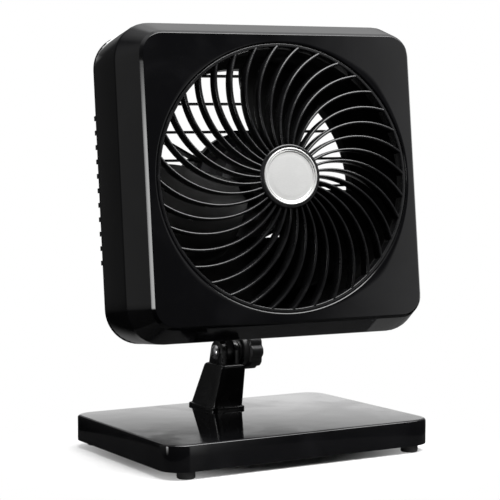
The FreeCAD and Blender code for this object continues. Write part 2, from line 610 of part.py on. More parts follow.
def front_grille():
    body = new_body("front_grille")
    vane = new_sketch(body, "XZ_Plane", ("0", "0", "hub_front"))
    vane_outline(vane)
    strip = pad(body, vane, "hub_front+grille_back", backwards=True)
    repeat_round(body, [strip], VANES)
    doc.recompute()
    far = "grille_outer+trim_room"
    trim_round(body, [("0", "-hub_front-trim_room"), (far, "-hub_front-trim_room"), (far, "rim_front"),
                      ("grille_outer", "rim_front"), ("dome_outer", "-dome_outer_rise"),
                      ("dome_inner", "-dome_inner_rise"), ("hub_radius", "1-hub_front"), ("0", "-hub_front")])
    trim_round(body, [("0", "grille_back+trim_room"), (far, "grille_back+trim_room"), (far, "grille_back"),
                      ("grille_outer", "grille_back"), ("dome_outer", "vane_depth-dome_outer_rise"),
                      ("dome_inner", "vane_depth-dome_inner_rise"), ("hub_radius", "vane_depth-hub_front+1"),
                      ("0", "vane_depth-hub_front")])
    rim = [("grille_inner", "rim_front"), ("grille_outer", "rim_front"), ("grille_outer", "grille_back"),
           ("grille_inner", "grille_back")]
    revolve(body, rim)
    dish = "badge_dish-hub_front"
    under = "2*badge_dish-hub_front"
    recess = "bezel_radius+running_gap"
    revolve(body, [("0", dish), (recess, dish), (recess, "-hub_front"),
                   ("hub_radius-1.5", "-hub_front"), ("hub_radius", "1.5-hub_front"),
                   ("hub_radius", "-hub_back"), ("hub_radius-2", "-hub_back"), ("hub_radius-2", under),
                   ("0", under)])
    keep(body, "front_grille", HEAD)
    ring("badge_bezel", "bezel_radius", "badge_radius", "-hub_front-badge_thick", dish, HEAD)
    badge_edge = "badge_radius-press_gap"
    turned("hub_badge", [("0", dish), (badge_edge, dish), (badge_edge, "0.5-hub_front"),
                         ("0", "-hub_front")], HEAD)


def rear_cover():
    body = new_body("rear_cover")
    lip = housing_section(body, "housing_half", "housing_corner", "housing_depth")
    pad(body, lip, "rear_step-housing_depth", backwards=True)
    back = housing_section(body, "rear_half", "rear_corner", "rear_step-1")
    pad(body, back, "rear_back-rear_step+1", backwards=True)
    fins = new_sketch(body, "XZ_Plane", ("0", "0", "-rear_step"))
    for step in range(-SIDE_FINS, SIDE_FINS + 1):
        low, high = f"{step}*fin_pitch-fin_thick/2", f"{step}*fin_pitch+fin_thick/2"
        for near, far in (("rear_half-2", "rear_half+fin_reach"), ("-rear_half-fin_reach", "2-rear_half")):
            outline(fins, [(near, low), (far, low), (far, high), (near, high)])
    pad(body, fins, "rear_back-rear_step-1", backwards=True)
    hollow = housing_section(body, "rear_half-shell", "rear_corner-shell", "housing_depth")
    pocket(body, hollow, "rear_back-housing_depth-shell")
    intake = new_sketch(body, "XZ_Plane", ("0", "0", "-housing_depth"))
    circle(intake, "intake")
    pocket(body, intake, "rear_back")
    revolve(body, [("intake", "housing_depth"), ("intake+collar_wall", "housing_depth"),
                   ("intake+collar_wall", "rear_back"), ("intake", "rear_back")])
    revolve(body, [("centre_bore", "housing_depth"), ("centre_ring", "housing_depth"),
                   ("centre_ring", "rear_back"), ("centre_bore", "rear_back")])
    for step in range(-GUARD_BARS, GUARD_BARS + 1):
        guard_bar(body, step)
    for number in range(4):
        guard_spoke(body, FIRST_SPOKE + 90 * number)
    lower_panel(body)
    holes = new_sketch(body, "XZ_Plane", ("0", "0", "-housing_depth"))
    seats = new_sketch(body, "XZ_Plane", ("0", "0", "-rear_step"))
    for sx, sz in four_corners(1, 1):
        circle(seats, "post_radius", f"{sx}*post_place", f"{sz}*post_place")
        circle(holes, "small_hole", f"{sx}*post_place", f"{sz}*post_place")
    flange_holes(holes)
    posts = new_sketch(body, "XZ_Plane", ("0", "0", "-housing_depth"))
    for sx, sz in four_corners(1, 1):
        circle(posts, "seat_wall", f"{sx}*post_place", f"{sz}*post_place")
    pad(body, posts, "rear_back-housing_depth", backwards=True)
    pocket(body, seats, "rear_back")
    pocket(body, holes, "rear_back")
    keep(body, "rear_cover", HEAD)


def guard_bar(body, step):
    """One level bar of the rear guard, from the collar to the collar or to the centre ring."""
    height = step * size("bar_pitch")
    reach = math.sqrt(size("intake+1")**2 - height**2)
    inner = size("centre_ring-1")
    near = math.sqrt(inner**2 - height**2) if abs(height) < inner else 0
    spans = [(-reach, -near), (near, reach)] if near else [(-reach, reach)]
    bar = new_sketch(body, "XZ_Plane", ("0", "0", "-(rear_back-bar_depth)"))
    low, high = f"{step}*bar_pitch-bar_thick/2", f"{step}*bar_pitch+bar_thick/2"
    for start, end in spans:
        left, right = f"{start:.3f}", f"{end:.3f}"
        outline(bar, [(left, low), (right, low), (right, high), (left, high)])
    pad(body, bar, "bar_depth-0.5", backwards=True)


def guard_spoke(body, angle):
    """One radial spoke that ties the centre ring to the collar, in front of the bars."""
    turn = Rotation(Z_AXIS, angle)
    spoke = new_sketch(body, "XZ_Plane", ("0", "0", "-housing_depth"), turn)
    outline(spoke, [("centre_ring-1", "-spoke_width/2"), ("intake+1", "-spoke_width/2"),
                    ("intake+1", "spoke_width/2"), ("centre_ring-1", "spoke_width/2")])
    pad(body, spoke, "rear_back-housing_depth-1", backwards=True)


def lower_panel(body):
    """The closed part of the rear guard: everything inside the collar below a level edge."""
    panel = new_sketch(body, "XZ_Plane", ("0", "0", "-(rear_back-panel_thick)"))
    reach, drop = size("intake+1"), size("panel_top")
    side = math.asin(drop / reach)
    corner = Vector(math.sqrt(reach**2 - drop**2), -drop, 0)
    arc = Part.ArcOfCircle(Part.Circle(Vector(), Z_AXIS, reach), math.pi + side, 2 * math.pi - side)
    panel.addGeometry(arc, False)
    panel.addGeometry(Part.LineSegment(corner, Vector(-corner.x, -drop, 0)), False)
    panel.addConstraint(Sketcher.Constraint("Coincident", 0, 3, -1, 1))
    panel.addConstraint(Sketcher.Constraint("Coincident", 0, 2, 1, 1))
    panel.addConstraint(Sketcher.Constraint("Coincident", 1, 2, 0, 1))
    panel.addConstraint(Sketcher.Constraint("Horizontal", 1))
    limit(panel, "Radius", 0, text="intake+1")
    limit(panel, "DistanceY", -1, 1, 1, 1, text="-panel_top")
    pad(body, panel, "panel_thick", backwards=True)


def flange_holes(sketch):
    for x, z in flange_places():
        circle(sketch, "small_hole", f"{x:.3f}", f"{z:.3f}")


def flange_places():
    reach = size("flange_circle") / math.sqrt(2)
    return four_corners(reach, reach)


def housing_screws():
    turn_front = Rotation(X_AXIS, 180)
    place = size("post_place")
    seat = size("rear_step")
    places = [HEAD * Placement(Vector(x, seat, z), turn_front) for x, z in four_corners(place, place)]
    several("housing_screws", screw("screw_head", "screw_cap", "screw_shank", "housing_screw"), places)
    flange = size("housing_depth-flange_plate")
    places = [HEAD * Placement(Vector(x, flange, z), Rotation()) for x, z in flange_places()]
    several("motor_screws", screw("motor_head", "motor_cap", "motor_screw_shank", "motor_screw"), places)


# ---------------------------------------------------------------- motor and what it drives
def motor():
    shaft_hole = "shaft_radius+running_gap"
    seat = "bearing_radius"
    ledge = "bearing_radius+bearing_wall"
    inner = "motor_radius-motor_wall"
    dome = "motor_radius-motor_bevel-1"
    flange = "housing_depth-flange_plate"
    body = new_body("motor_front_shell")
    revolve(body, [("shaft_radius+1", "motor_front-1.5"), (seat, "motor_front-1.5"),
                   ("bearing_radius+3", "motor_front"), ("motor_radius-motor_bevel", "motor_front"),
                   ("motor_radius", "motor_front+motor_bevel"), ("motor_radius", flange),
                   ("motor_flange", flange), ("motor_flange", "housing_depth"),
                   (inner, "housing_depth"), (inner, "motor_front+motor_bevel+1"),
                   (dome, "motor_front+motor_wall"), (ledge, "motor_front+motor_wall"),
                   (ledge, "motor_front+bearing_length"), (seat, "motor_front+bearing_length"),
                   (seat, "motor_front"), ("shaft_radius+1", "motor_front")])
    holes = new_sketch(body, "XZ_Plane", ("0", "0", f"-({flange})"))
    flange_holes(holes)
    pocket(body, holes, "flange_plate")
    keep(body, "motor_front_shell", HEAD)
    cap = "motor_back+motor_cap_rise"
    turned("motor_rear_shell", [(inner, "housing_depth"), ("motor_radius", "housing_depth"),
                                ("motor_radius", "motor_back-motor_bevel"),
                                ("motor_radius-motor_bevel", "motor_back"), ("0", cap), ("0", cap + "-2"),
                                (seat, cap + "-4"), (seat, "motor_back-bearing_length"),
                                (ledge, "motor_back-bearing_length"), (ledge, "motor_back-motor_wall"),
                                (dome, "motor_back-motor_wall"), (inner, "motor_back-motor_bevel-1")], HEAD)
    ring("stator_core", "stator_outer-running_gap", "stator_inner", "stack_front", "stack_back", HEAD)
    coil = [("coil_inner", "0"), ("coil_outer", "0"), ("coil_outer", "coil_length-2"),
            ("coil_outer-2", "coil_length"), ("coil_inner+2", "coil_length"), ("coil_inner", "coil_length-2")]
    places = [HEAD * Placement(Vector(0, size("stack_back"), 0), Rotation()),
              HEAD * Placement(Vector(0, size("stack_front"), 0), Rotation(Z_AXIS, 180))]
    several("stator_coils", coil, places)
    bearing = [(shaft_hole, "0"), (seat + "-press_gap", "0"), (seat + "-press_gap", "bearing_length"),
               (shaft_hole, "bearing_length")]
    places = [HEAD * Placement(Vector(0, size("motor_front"), 0), Rotation()),
              HEAD * Placement(Vector(0, size("motor_back-bearing_length"), 0), Rotation())]
    several("motor_bearings", bearing, places)
    turned("motor_shaft", [("0", "shaft_front"), ("shaft_radius-0.6", "shaft_front"),
                           ("shaft_radius", "shaft_front+0.6"), ("shaft_radius", "shaft_back"),
                           ("0", "shaft_back")], HEAD)
    ring("rotor_core", "rotor_radius", "shaft_radius", "stack_front", "stack_back", HEAD)


def fan_blades():
    """Hub and three petal blades, each flat in a plane turned about its own radius."""
    body = new_body("fan_blades")
    bore = "shaft_radius"
    revolve(body, [(bore, "fan_hub_front"), ("fan_hub-5", "fan_hub_front"), ("fan_hub", "fan_hub_front+5"),
                   ("fan_hub", "fan_hub_back"), ("fan_hub-fan_wall", "fan_hub_back"),
                   ("fan_hub-fan_wall", "fan_hub_front+6"), ("fan_boss", "fan_hub_front+3"),
                   ("fan_boss", "fan_hub_back-fan_wall"), (bore, "fan_hub_back-fan_wall")])
    plane = Rotation(Y_AXIS, size("blade_pitch"))
    petal = new_sketch(body, "XZ_Plane", ("0", "0", "-blade_plane"), plane)
    outline(petal, PETAL)
    blade = pad(body, petal, "blade_thick", both_ways=True)
    repeat_round(body, [blade], BLADES)
    spin = Placement(Vector(), Rotation(Y_AXIS, BLADE_START))
    keep(body, "fan_blades", HEAD * spin)
    nut_front = "fan_hub_front-nut_length"
    nut_bore = "shaft_radius+press_gap"
    turned("fan_nut", [(nut_bore, nut_front), ("nut_radius-3", nut_front), ("nut_radius", nut_front + "+3"),
                       ("nut_radius", "fan_hub_front"), (nut_bore, "fan_hub_front")], HEAD)


# ---------------------------------------------------------------- pod, selector and inlet
def motor_pod():
    body = new_body("motor_pod")
    revolve(body, [("pod_radius-pod_wall", "pod_front"), ("pod_radius", "pod_front"),
                   ("pod_radius", "pod_shoulder"), ("pod_face", "pod_back"), ("0", "pod_back"),
                   ("0", "pod_back-pod_wall"), ("pod_face-1.1", "pod_back-pod_wall"),
                   ("pod_radius-pod_wall", "pod_shoulder-1")])
    boss = new_sketch(body, "XY_Plane", ("0", "0", "-boss_bottom"))
    circle(boss, "swivel_boss", "0", "swivel_depth")
    pad(body, boss, "boss_bottom-boss_top")
    pin_hole = new_sketch(body, "XY_Plane", ("0", "0", "-boss_bottom"))
    circle(pin_hole, "pin_radius+press_gap", "0", "swivel_depth")
    pocket(body, pin_hole, "boss_bottom-boss_top", backwards=True)
    stem_hole = new_sketch(body, "XZ_Plane", ("0", "0", "-pod_back"))
    circle(stem_hole, "stem_radius+running_gap", "0", "speed_height")
    circle(stem_hole, "inlet_radius-1.5", "inlet_place*0.75", "-inlet_place*0.5")
    pocket(body, stem_hole, "pod_wall*2", backwards=True)
    vents = new_sketch(body, "XZ_Plane", ("0", "0", "-pod_back"))
    for step in range(4):
        low = f"-vent_top-{step}*vent_pitch"
        high = low + "+vent_height"
        outline(vents, [("-vent_left", low), ("vent_right", low), ("vent_right", high), ("-vent_left", high)])
    pocket(body, vents, "pod_wall*2", backwards=True)
    keep(body, "motor_pod", HEAD)
    pin_top = "axis_height-boss_top"
    turned("swivel_pin", [("0", "pin_end"), ("pin_radius-1", "pin_end"), ("pin_radius", "pin_end+1"),
                          ("pin_radius", pin_top), ("pin_head", pin_top), ("pin_head", pin_top + "+pin_cap"),
                          ("0", pin_top + "+pin_cap")], SWIVEL)


def pod_contents():
    corner = Vector(size("capacitor_side"), size("motor_back+capacitor_gap"), size("capacitor_gap"))
    block("capacitor", "capacitor_width", "capacitor_length", "capacitor_height",
          HEAD * Placement(corner, Rotation()))
    back = size("pod_back-pod_wall-switch_depth")
    body = new_body("selector_switch")
    case = new_sketch(body, "XZ_Plane", ("0", "speed_height", "-(pod_back-pod_wall-switch_depth)"))
    rounded_rectangle(case, "switch_size/2", "switch_size/2", "2")
    pad(body, case, "switch_depth", backwards=True)
    bore = new_sketch(body, "XZ_Plane", ("0", "speed_height", f"-{back:.3f}"))
    circle(bore, "stem_radius+running_gap")
    pocket(body, bore, "switch_depth")
    keep(body, "selector_switch", HEAD)
    knob_place = HEAD * Placement(Vector(0, size("pod_back"), size("speed_height")), Rotation())
    turned("speed_knob", [("0", "-pod_wall-switch_depth+2"), ("stem_radius", "-pod_wall-switch_depth+2"),
                          ("stem_radius", "side_gap"), ("speed_radius", "side_gap"),
                          ("speed_radius-1", "speed_length-1.5"), ("speed_radius-2.5", "speed_length"),
                          ("0", "speed_length")], knob_place)
    block("knob_pointer", "2", "1.2", "8",
          knob_place * Placement(Vector(-1, size("speed_length"), 1), Rotation()))
    inlet_place = HEAD * Placement(Vector(size("inlet_place*0.75"), 0, -size("inlet_place*0.5")), Rotation())
    turned("cord_inlet", [("inlet_bore", "pod_back-pod_wall-2"), ("inlet_radius-1.5", "pod_back-pod_wall-2"),
                          ("inlet_radius-1.5", "pod_back"), ("inlet_radius", "pod_back"),
                          ("inlet_radius", "pod_back+2"), ("inlet_radius-1", "pod_back+4"),
                          ("inlet_bore", "pod_back+4")], inlet_place)


for build in (base_cover, base_bottom_plate, base_small_parts, neck_backing_plate, neck_column, clamp,
              tilt_arm, front_frame, air_shroud, front_grille, rear_cover, housing_screws, motor, fan_blades,
              motor_pod, pod_contents):
    build()

# ---------------------------------------------------------------- check and write
doc.recompute()
for thing in doc.Objects:
    if {"Invalid", "Error"} & set(thing.State):
        raise RuntimeError(f"{thing.Name} did not compute: {thing.State}")
for piece in pieces:
    if piece.Shape.isNull() or not piece.Shape.isValid():
        raise RuntimeError(piece.Label + " has no valid shape")
for piece in pieces:
    piece.Shape.exportStep(f"parts/{piece.Label}.step")
    print(f"{piece.Label:22s} {len(piece.Shape.Solids)} solid(s) {piece.Shape.Volume / 1000:9.2f} cm3")
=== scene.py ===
"""Looks of a box fan on a tilting neck, laid out as a Blender add-on.

Lengths are in metres. The head has its own frame: origin in the middle of the front face, X to the
right, Y along the fan's axis towards the motor, Z up. Every new piece is a surface worked out on a grid.
"""
import json
import math

import bmesh
import bpy
import numpy as np
from bpy.props import FloatProperty, FloatVectorProperty, IntProperty, PointerProperty
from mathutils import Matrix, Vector


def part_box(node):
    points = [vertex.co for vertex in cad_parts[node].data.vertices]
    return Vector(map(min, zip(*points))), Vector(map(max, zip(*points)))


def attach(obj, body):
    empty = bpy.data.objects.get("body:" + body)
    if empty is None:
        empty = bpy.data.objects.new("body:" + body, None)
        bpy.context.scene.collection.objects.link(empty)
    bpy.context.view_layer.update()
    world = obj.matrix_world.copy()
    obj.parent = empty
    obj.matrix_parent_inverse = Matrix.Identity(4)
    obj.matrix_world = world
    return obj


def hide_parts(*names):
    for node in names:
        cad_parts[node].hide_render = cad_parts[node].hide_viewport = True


bl_info = {
    "name": "Box fan looks",
    "version": (1, 0, 0),
    "blender": (4, 5, 0),
    "location": "3D View > Sidebar > Fan",
    "description": "Builds the shells, grille, blades, neck and finishes of a box fan around its frame",
    "category": "Object",
}

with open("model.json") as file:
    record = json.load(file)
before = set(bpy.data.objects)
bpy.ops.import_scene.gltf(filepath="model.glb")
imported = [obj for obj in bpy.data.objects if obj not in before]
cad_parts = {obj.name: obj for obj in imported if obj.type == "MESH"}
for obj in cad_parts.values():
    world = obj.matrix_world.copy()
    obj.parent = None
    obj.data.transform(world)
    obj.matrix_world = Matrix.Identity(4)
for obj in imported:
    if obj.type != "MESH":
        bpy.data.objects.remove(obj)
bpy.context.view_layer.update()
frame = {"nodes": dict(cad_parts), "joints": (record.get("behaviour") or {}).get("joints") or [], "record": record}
JOINTS = {joint["name"]: joint for joint in frame["joints"]}
MM = 0.001


# ---------------------------------------------------------------- user settings
def length(name, description, value):
    return FloatProperty(name=name, description=description, default=value * MM, unit="LENGTH",
                         subtype="DISTANCE", precision=4)


def colour(name, description, value):
    return FloatVectorProperty(name=name, description=description, default=value, size=3, min=0, max=1,
                               subtype="COLOR")


class HousingSettings(bpy.types.PropertyGroup):
    """Sizes of the square housing."""

    opening: length("Opening", "Radius of the round front opening", 139)
    front_half: length("Front half width", "Half the width of the flat front face", 147.5)
    side_half: length("Housing half width", "Half the width across the sides", 165)
    corner_centre: length("Corner centre", "How far each corner's centre is from the axis", 126.5)
    bevel_depth: length("Bevel depth", "How far behind the face the bevel meets the sides", 41)
    depth: length("Depth", "Depth of the moulded front shell", 114)
    wall: length("Wall", "Thickness of the moulded shell", 3)
    edge: length("Edge radius", "Radius where the bevel runs into the sides", 16)
    lip: length("Lip radius", "Radius round the edge of the front opening", 1.9)


class GrilleSettings(bpy.types.PropertyGroup):
    """Sizes of the spiral grille."""

    vanes: IntProperty(name="Vanes", description="Number of spiral vanes", default=36, min=8, max=72)
    vane_thick: length("Vane thickness", "Thickness of one vane", 3)
    vane_depth: length("Vane depth", "Depth of one vane along the axis", 15)
    vane_arc: length("Vane arc", "Radius of the arc that a vane follows", 91)
    hub_front: length("Hub front", "How far the hub stands in front of the face", 12)
    rim: length("Rim radius", "Outer radius of the grille's rim", 138.7)


class FanSettings(bpy.types.PropertyGroup):
    """Sizes of the blades behind the grille."""

    blades: IntProperty(name="Blades", description="Number of blades", default=3, min=2, max=8)
    first: FloatProperty(name="First blade", description="Angle of the first blade from the right",
                         default=math.radians(78), unit="ROTATION", subtype="ANGLE")
    tip: length("Tip radius", "Radius of the circle swept by the tips", 127)
    hub: length("Hub radius", "Radius of the blade hub", 31)
    plane: length("Blade plane", "Depth of the blades behind the front face", 52)
    root_pitch: FloatProperty(name="Root pitch", description="Pitch of a blade at the hub",
                              default=math.radians(34), unit="ROTATION", subtype="ANGLE")
    tip_pitch: FloatProperty(name="Tip pitch", description="Pitch of a blade at the tip",
                             default=math.radians(20), unit="ROTATION", subtype="ANGLE")


class StandSettings(bpy.types.PropertyGroup):
    """Sizes of the base, the neck and the clamp."""

    base_width: length("Base width", "Width of the base", 330)
    base_depth: length("Base depth", "Depth of the base", 240)
    base_corner: length("Base corner", "Radius of the base's corners in plan", 24)
    base_edge: length("Base edge", "Radius round the top edge of the base", 2.5)
    foot: length("Foot radius", "Radius of a rubber foot", 9.5)
    ear: length("Ear radius", "Radius of the neck's two ears", 13.6)
    knob: length("Knob radius", "Outer radius of the clamp knob", 21.5)
    lobes: IntProperty(name="Lobes", description="Number of finger hollows round the clamp knob",
                       default=8, min=4, max=16)


class FinishSettings(bpy.types.PropertyGroup):
    """Base colours of the finishes."""

    shell: colour("Shell", "Colour of the high gloss shells", (0.003, 0.003, 0.0035))
    grille: colour("Grille", "Colour of the grille and blades", (0.006, 0.006, 0.0065))
    satin: colour("Satin parts", "Colour of the satin moulded parts", (0.007, 0.007, 0.0075))
    knob: colour("Knobs", "Colour of the knobs", (0.05, 0.05, 0.051))
    badge: colour("Badge", "Colour of the metal badge", (0.82, 0.82, 0.81))


class StageSettings(bpy.types.PropertyGroup):
    """Camera and light."""

    lens: FloatProperty(name="Lens", description="Focal length in millimetres", default=108.2, min=20)
    lamp: FloatProperty(name="Lamp power", description="Power of the overhead softbox in watts",
                        default=170.0, min=0)
    wall: FloatProperty(name="Wall brightness", description="Brightness of the white wall behind the fan",
                        default=1.25, min=0)


# ---------------------------------------------------------------- frames
def unit(vector):
    return np.asarray(vector, float) / np.linalg.norm(vector)


def frame_of(origin, across, along, up):
    """A function that moves points from a local frame into the row's frame."""
    axes = np.stack([across, along, up])
    return lambda points: np.asarray(origin) + np.asarray(points) @ axes


AXIS = unit(JOINTS["fan_spin"]["axis"])
SWIVEL = unit(JOINTS["head_swivel"]["axis"])
PIVOT = np.array(JOINTS["head_tilt"]["pos_m"])
ACROSS = np.cross(AXIS, SWIVEL)
FACE = np.array(JOINTS["fan_spin"]["pos_m"]) - 52 * MM * AXIS
X_AXIS, Y_AXIS, Z_AXIS = np.eye(3)
HEAD = frame_of(FACE, ACROSS, AXIS, SWIVEL)
ARM = frame_of(PIVOT, X_AXIS, np.cross(SWIVEL, X_AXIS), SWIVEL)
CLAMP = frame_of(PIVOT, -Y_AXIS, X_AXIS, Z_AXIS)
DECK = frame_of([0, 77.5 * MM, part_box("base_cover")[1].z], X_AXIS, Y_AXIS, Z_AXIS)
STAND = frame_of([0, 0, 0], X_AXIS, Y_AXIS, Z_AXIS)
UPRIGHT = frame_of([0, 0, 0], X_AXIS, Z_AXIS, Y_AXIS)
SELECTOR = frame_of(JOINTS["speed_select"]["pos_m"], ACROSS, AXIS, SWIVEL)


# ---------------------------------------------------------------- shapes on grids
def soften(corners, radii, steps=7):
    """A line through corners in which each corner becomes an arc.

    The arc touches both runs at radius / tan(half the angle between them) from the corner, and is
    walked by turning the start spoke into the end spoke at an even rate.
    """
    corners = np.asarray(corners, float) * MM
    radii = np.broadcast_to(np.asarray(radii, float) * MM, len(corners))
    back, ahead = np.roll(corners, 1, 0) - corners, np.roll(corners, -1, 0) - corners
    back_run, ahead_run = (np.linalg.norm(run, axis=1)[:, None] + 1e-12 for run in (back, ahead))
    back, ahead = back / back_run, ahead / ahead_run
    half = np.arccos(np.clip((back * ahead).sum(1), -0.99999, 0.99999))[:, None] / 2
    reach = np.minimum(radii[:, None] / np.tan(half), 0.49 * np.minimum(back_run, ahead_run))
    radius = reach * np.tan(half)
    bisector = back + ahead
    bisector /= np.linalg.norm(bisector, axis=1)[:, None] + 1e-12
    centre = corners + bisector * radius / np.sin(half)
    sweep = (math.pi - 2 * half)[:, None]
    share = np.linspace(0, 1, steps)[None, :, None]
    start, end = (corners + back * reach - centre)[:, None], (corners + ahead * reach - centre)[:, None]
    spokes = (np.sin((1 - share) * sweep) * start + np.sin(share * sweep) * end) / np.sin(sweep)
    return (centre[:, None] + spokes).reshape(-1, 2)


def turned(profile, turns=72):
    """Each (radius, along) point of a profile carried once round the local Y axis."""
    angle = np.linspace(0, math.tau, turns, endpoint=False)[:, None]
    radius, along = profile[:, 0], profile[:, 1]
    return np.stack(np.broadcast_arrays(radius * np.cos(angle), along, radius * np.sin(angle)), -1)


def rounded_ring(half_width, half_height, corner, side_steps=30, corner_steps=10):
    """A rounded rectangle per entry: four quarter circles joined by evenly divided sides."""
    half_width, half_height, corner = np.broadcast_arrays(
        *(np.atleast_1d(np.asarray(value, float)) for value in (half_width, half_height, corner)))
    sign = np.array([[1, 1], [-1, 1], [-1, -1], [1, -1]], float)
    middle = np.stack([half_width - corner, half_height - corner], -1)[:, None] * sign
    angle = np.arange(4)[:, None] * math.pi / 2 + np.linspace(0, math.pi / 2, corner_steps)
    arcs = middle[:, :, None] + corner[:, None, None, None] * np.stack([np.cos(angle), np.sin(angle)], -1)
    share = np.linspace(0, 1, side_steps + 2)[1:-1, None]
    sides = arcs[:, :, -1, None] * (1 - share) + np.roll(arcs, -1, 1)[:, :, 0, None] * share
    return np.concatenate([arcs, sides], 2).reshape(len(half_width), -1, 2)


def stacked(rings, heights):
    """Flat rings lifted to their heights: rows of (x, y, height)."""
    heights = np.broadcast_to(np.asarray(heights, float)[:, None, None], rings.shape[:2] + (1,))
    return np.concatenate([rings, heights], -1)


def closed_ends(rows):
    """The same rows with each end drawn together to its middle, which closes the surface."""
    first = np.broadcast_to(rows[..., :1, :, :].mean(-2, keepdims=True), rows[..., :1, :, :].shape)
    last = np.broadcast_to(rows[..., -1:, :, :].mean(-2, keepdims=True), rows[..., -1:, :, :].shape)
    return np.concatenate([first, rows, last], -3)


def plate(outline, start, end, edge):
    """A flat outline of (y, z) carried along x, its rims rounded by stepping in along its normals."""
    ahead = np.roll(outline, -1, 0) - np.roll(outline, 1, 0)
    normal = np.stack([ahead[:, 1], -ahead[:, 0]], -1)
    normal /= np.linalg.norm(normal, axis=1)[:, None] + 1e-12
    turn = np.linspace(0, math.pi / 2, 5)
    along = np.concatenate([start + edge * (1 - np.cos(turn)), end - edge * (1 - np.cos(turn[::-1]))])
    inset = abs(edge) * (1 - np.sin(np.concatenate([turn, turn[::-1]])))
    rows = outline[None] - normal[None] * inset[:, None, None]
    across = np.broadcast_to(along[:, None, None], rows.shape[:2] + (1,))
    return closed_ends(np.concatenate([across, rows], -1))


def grid_faces(copies, rows, columns, close_rows, close_columns):
    """Four corners of every cell of the grids, as whole index arrays."""
    i = np.arange(rows if close_rows else rows - 1)[:, None]
    j = np.arange(columns if close_columns else columns - 1)[None, :]
    i_next, j_next = (i + 1) % rows, (j + 1) % columns
    row, row_next = i * columns, i_next * columns
    cell = np.stack([row + j, row_next + j, row_next + j_next, row + j_next], -1)
    start = np.arange(copies)[:, None, None] * rows * columns
    return (cell.reshape(1, -1, 4) + start).reshape(-1, 4)


def build_piece(name, sheets, body, material, replaced=(), crease=38):
    """One object from several grids. Each sheet is (points, closed along rows, closed along columns)."""
    spots, corners, count = [], [], 0
    for points, close_rows, close_columns in sheets:
        points = points.reshape((-1,) + points.shape[-3:])
        corners.append(grid_faces(*points.shape[:3], close_rows, close_columns) + count)
        spots.append(points.reshape(-1, 3))
        count += len(spots[-1])
    spots, corners = np.concatenate(spots), np.concatenate(corners)
    mesh = bpy.data.meshes.new(name)
    mesh.vertices.add(len(spots))
    mesh.vertices.foreach_set("co", spots.astype(np.float32).ravel())
    mesh.loops.add(corners.size)
    mesh.loops.foreach_set("vertex_index", corners.astype(np.int32).ravel())
    mesh.polygons.add(len(corners))
    mesh.polygons.foreach_set("loop_start", np.arange(0, corners.size, 4, dtype=np.int32))
    mesh.update(calc_edges=True)
    tidy = bmesh.new()
    tidy.from_mesh(mesh)
    bmesh.ops.remove_doubles(tidy, verts=tidy.verts, dist=2e-6)
    bmesh.ops.recalc_face_normals(tidy, faces=tidy.faces)
    tidy.to_mesh(mesh)
    tidy.free()
    mesh.shade_smooth()
    mesh.set_sharp_from_angle(angle=math.radians(crease))
    piece = bpy.data.objects.new(name, mesh)
    bpy.context.scene.collection.objects.link(piece)
    mesh.materials.append(material)
    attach(piece, body)
    if replaced:
        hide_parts(*replaced)
    return piece


# ---------------------------------------------------------------- shader groups
def node(tree, kind, inputs=(), **settings):
    """A node with its settings made and its inputs set or linked."""
    made = tree.nodes.new(kind)
    for key, value in settings.items():
        setattr(made, key, value)
    for key, value in dict(inputs).items():
        if isinstance(value, bpy.types.NodeSocket):
            tree.links.new(value, made.inputs[key])
        else:
            made.inputs[key].default_value = value
    return made


def new_group(name, inputs, output):
    """An empty shader group that takes a Position and some numbers, and gives one value."""
    group = bpy.data.node_groups.new(name, "ShaderNodeTree")
    group.interface.new_socket("Position", in_out="INPUT", socket_type="NodeSocketVector")
    for label, value in inputs:
        socket = group.interface.new_socket(label, in_out="INPUT", socket_type="NodeSocketFloat")
        socket.default_value = value
    group.interface.new_socket(output, in_out="OUTPUT", socket_type="NodeSocketFloat")
    return group, group.nodes.new("NodeGroupInput"), group.nodes.new("NodeGroupOutput")


def group_of(name, make):
    return bpy.data.node_groups.get(name) or make(name)


def make_smudges(name):
    """Broad soft patches, where a shell has been handled and wiped: two noises multiplied."""
    group, given, out = new_group(name, [("Scale", 14.0), ("Low", 0.4), ("High", 0.7)], "Mask")
    given = given.outputs
    broad = node(group, "ShaderNodeTexNoise", {"Vector": given["Position"], "Scale": given["Scale"],
                                               "Detail": 4.0, "Roughness": 0.55, "Distortion": 0.6})
    limits = {"Value": broad.outputs["Fac"], "From Min": given["Low"], "From Max": given["High"]}
    spread = node(group, "ShaderNodeMapRange", limits, interpolation_type="SMOOTHSTEP")
    group.links.new(spread.outputs["Result"], out.inputs["Mask"])
    return group


def make_dust(name):
    """Sparse small specks: only the middles of a fine cell pattern are kept, thinned by a broad noise."""
    group, given, out = new_group(name, [("Scale", 900.0), ("Size", 0.16)], "Mask")
    given = given.outputs
    cells = node(group, "ShaderNodeTexVoronoi", {"Vector": given["Position"], "Scale": given["Scale"]})
    limits = {"Value": cells.outputs["Distance"], "From Min": given["Size"], "From Max": 0.02}
    speck = node(group, "ShaderNodeMapRange", limits, interpolation_type="SMOOTHSTEP")
    thin = node(group, "ShaderNodeTexNoise", {"Vector": given["Position"], "Scale": 55.0, "Detail": 3.0})
    limits = {"Value": thin.outputs["Fac"], "From Min": 0.5, "From Max": 0.66}
    keep = node(group, "ShaderNodeMapRange", limits)
    both = node(group, "ShaderNodeMath", {0: speck.outputs["Result"], 1: keep.outputs["Result"]},
                operation="MULTIPLY")
    group.links.new(both.outputs["Value"], out.inputs["Mask"])
    return group


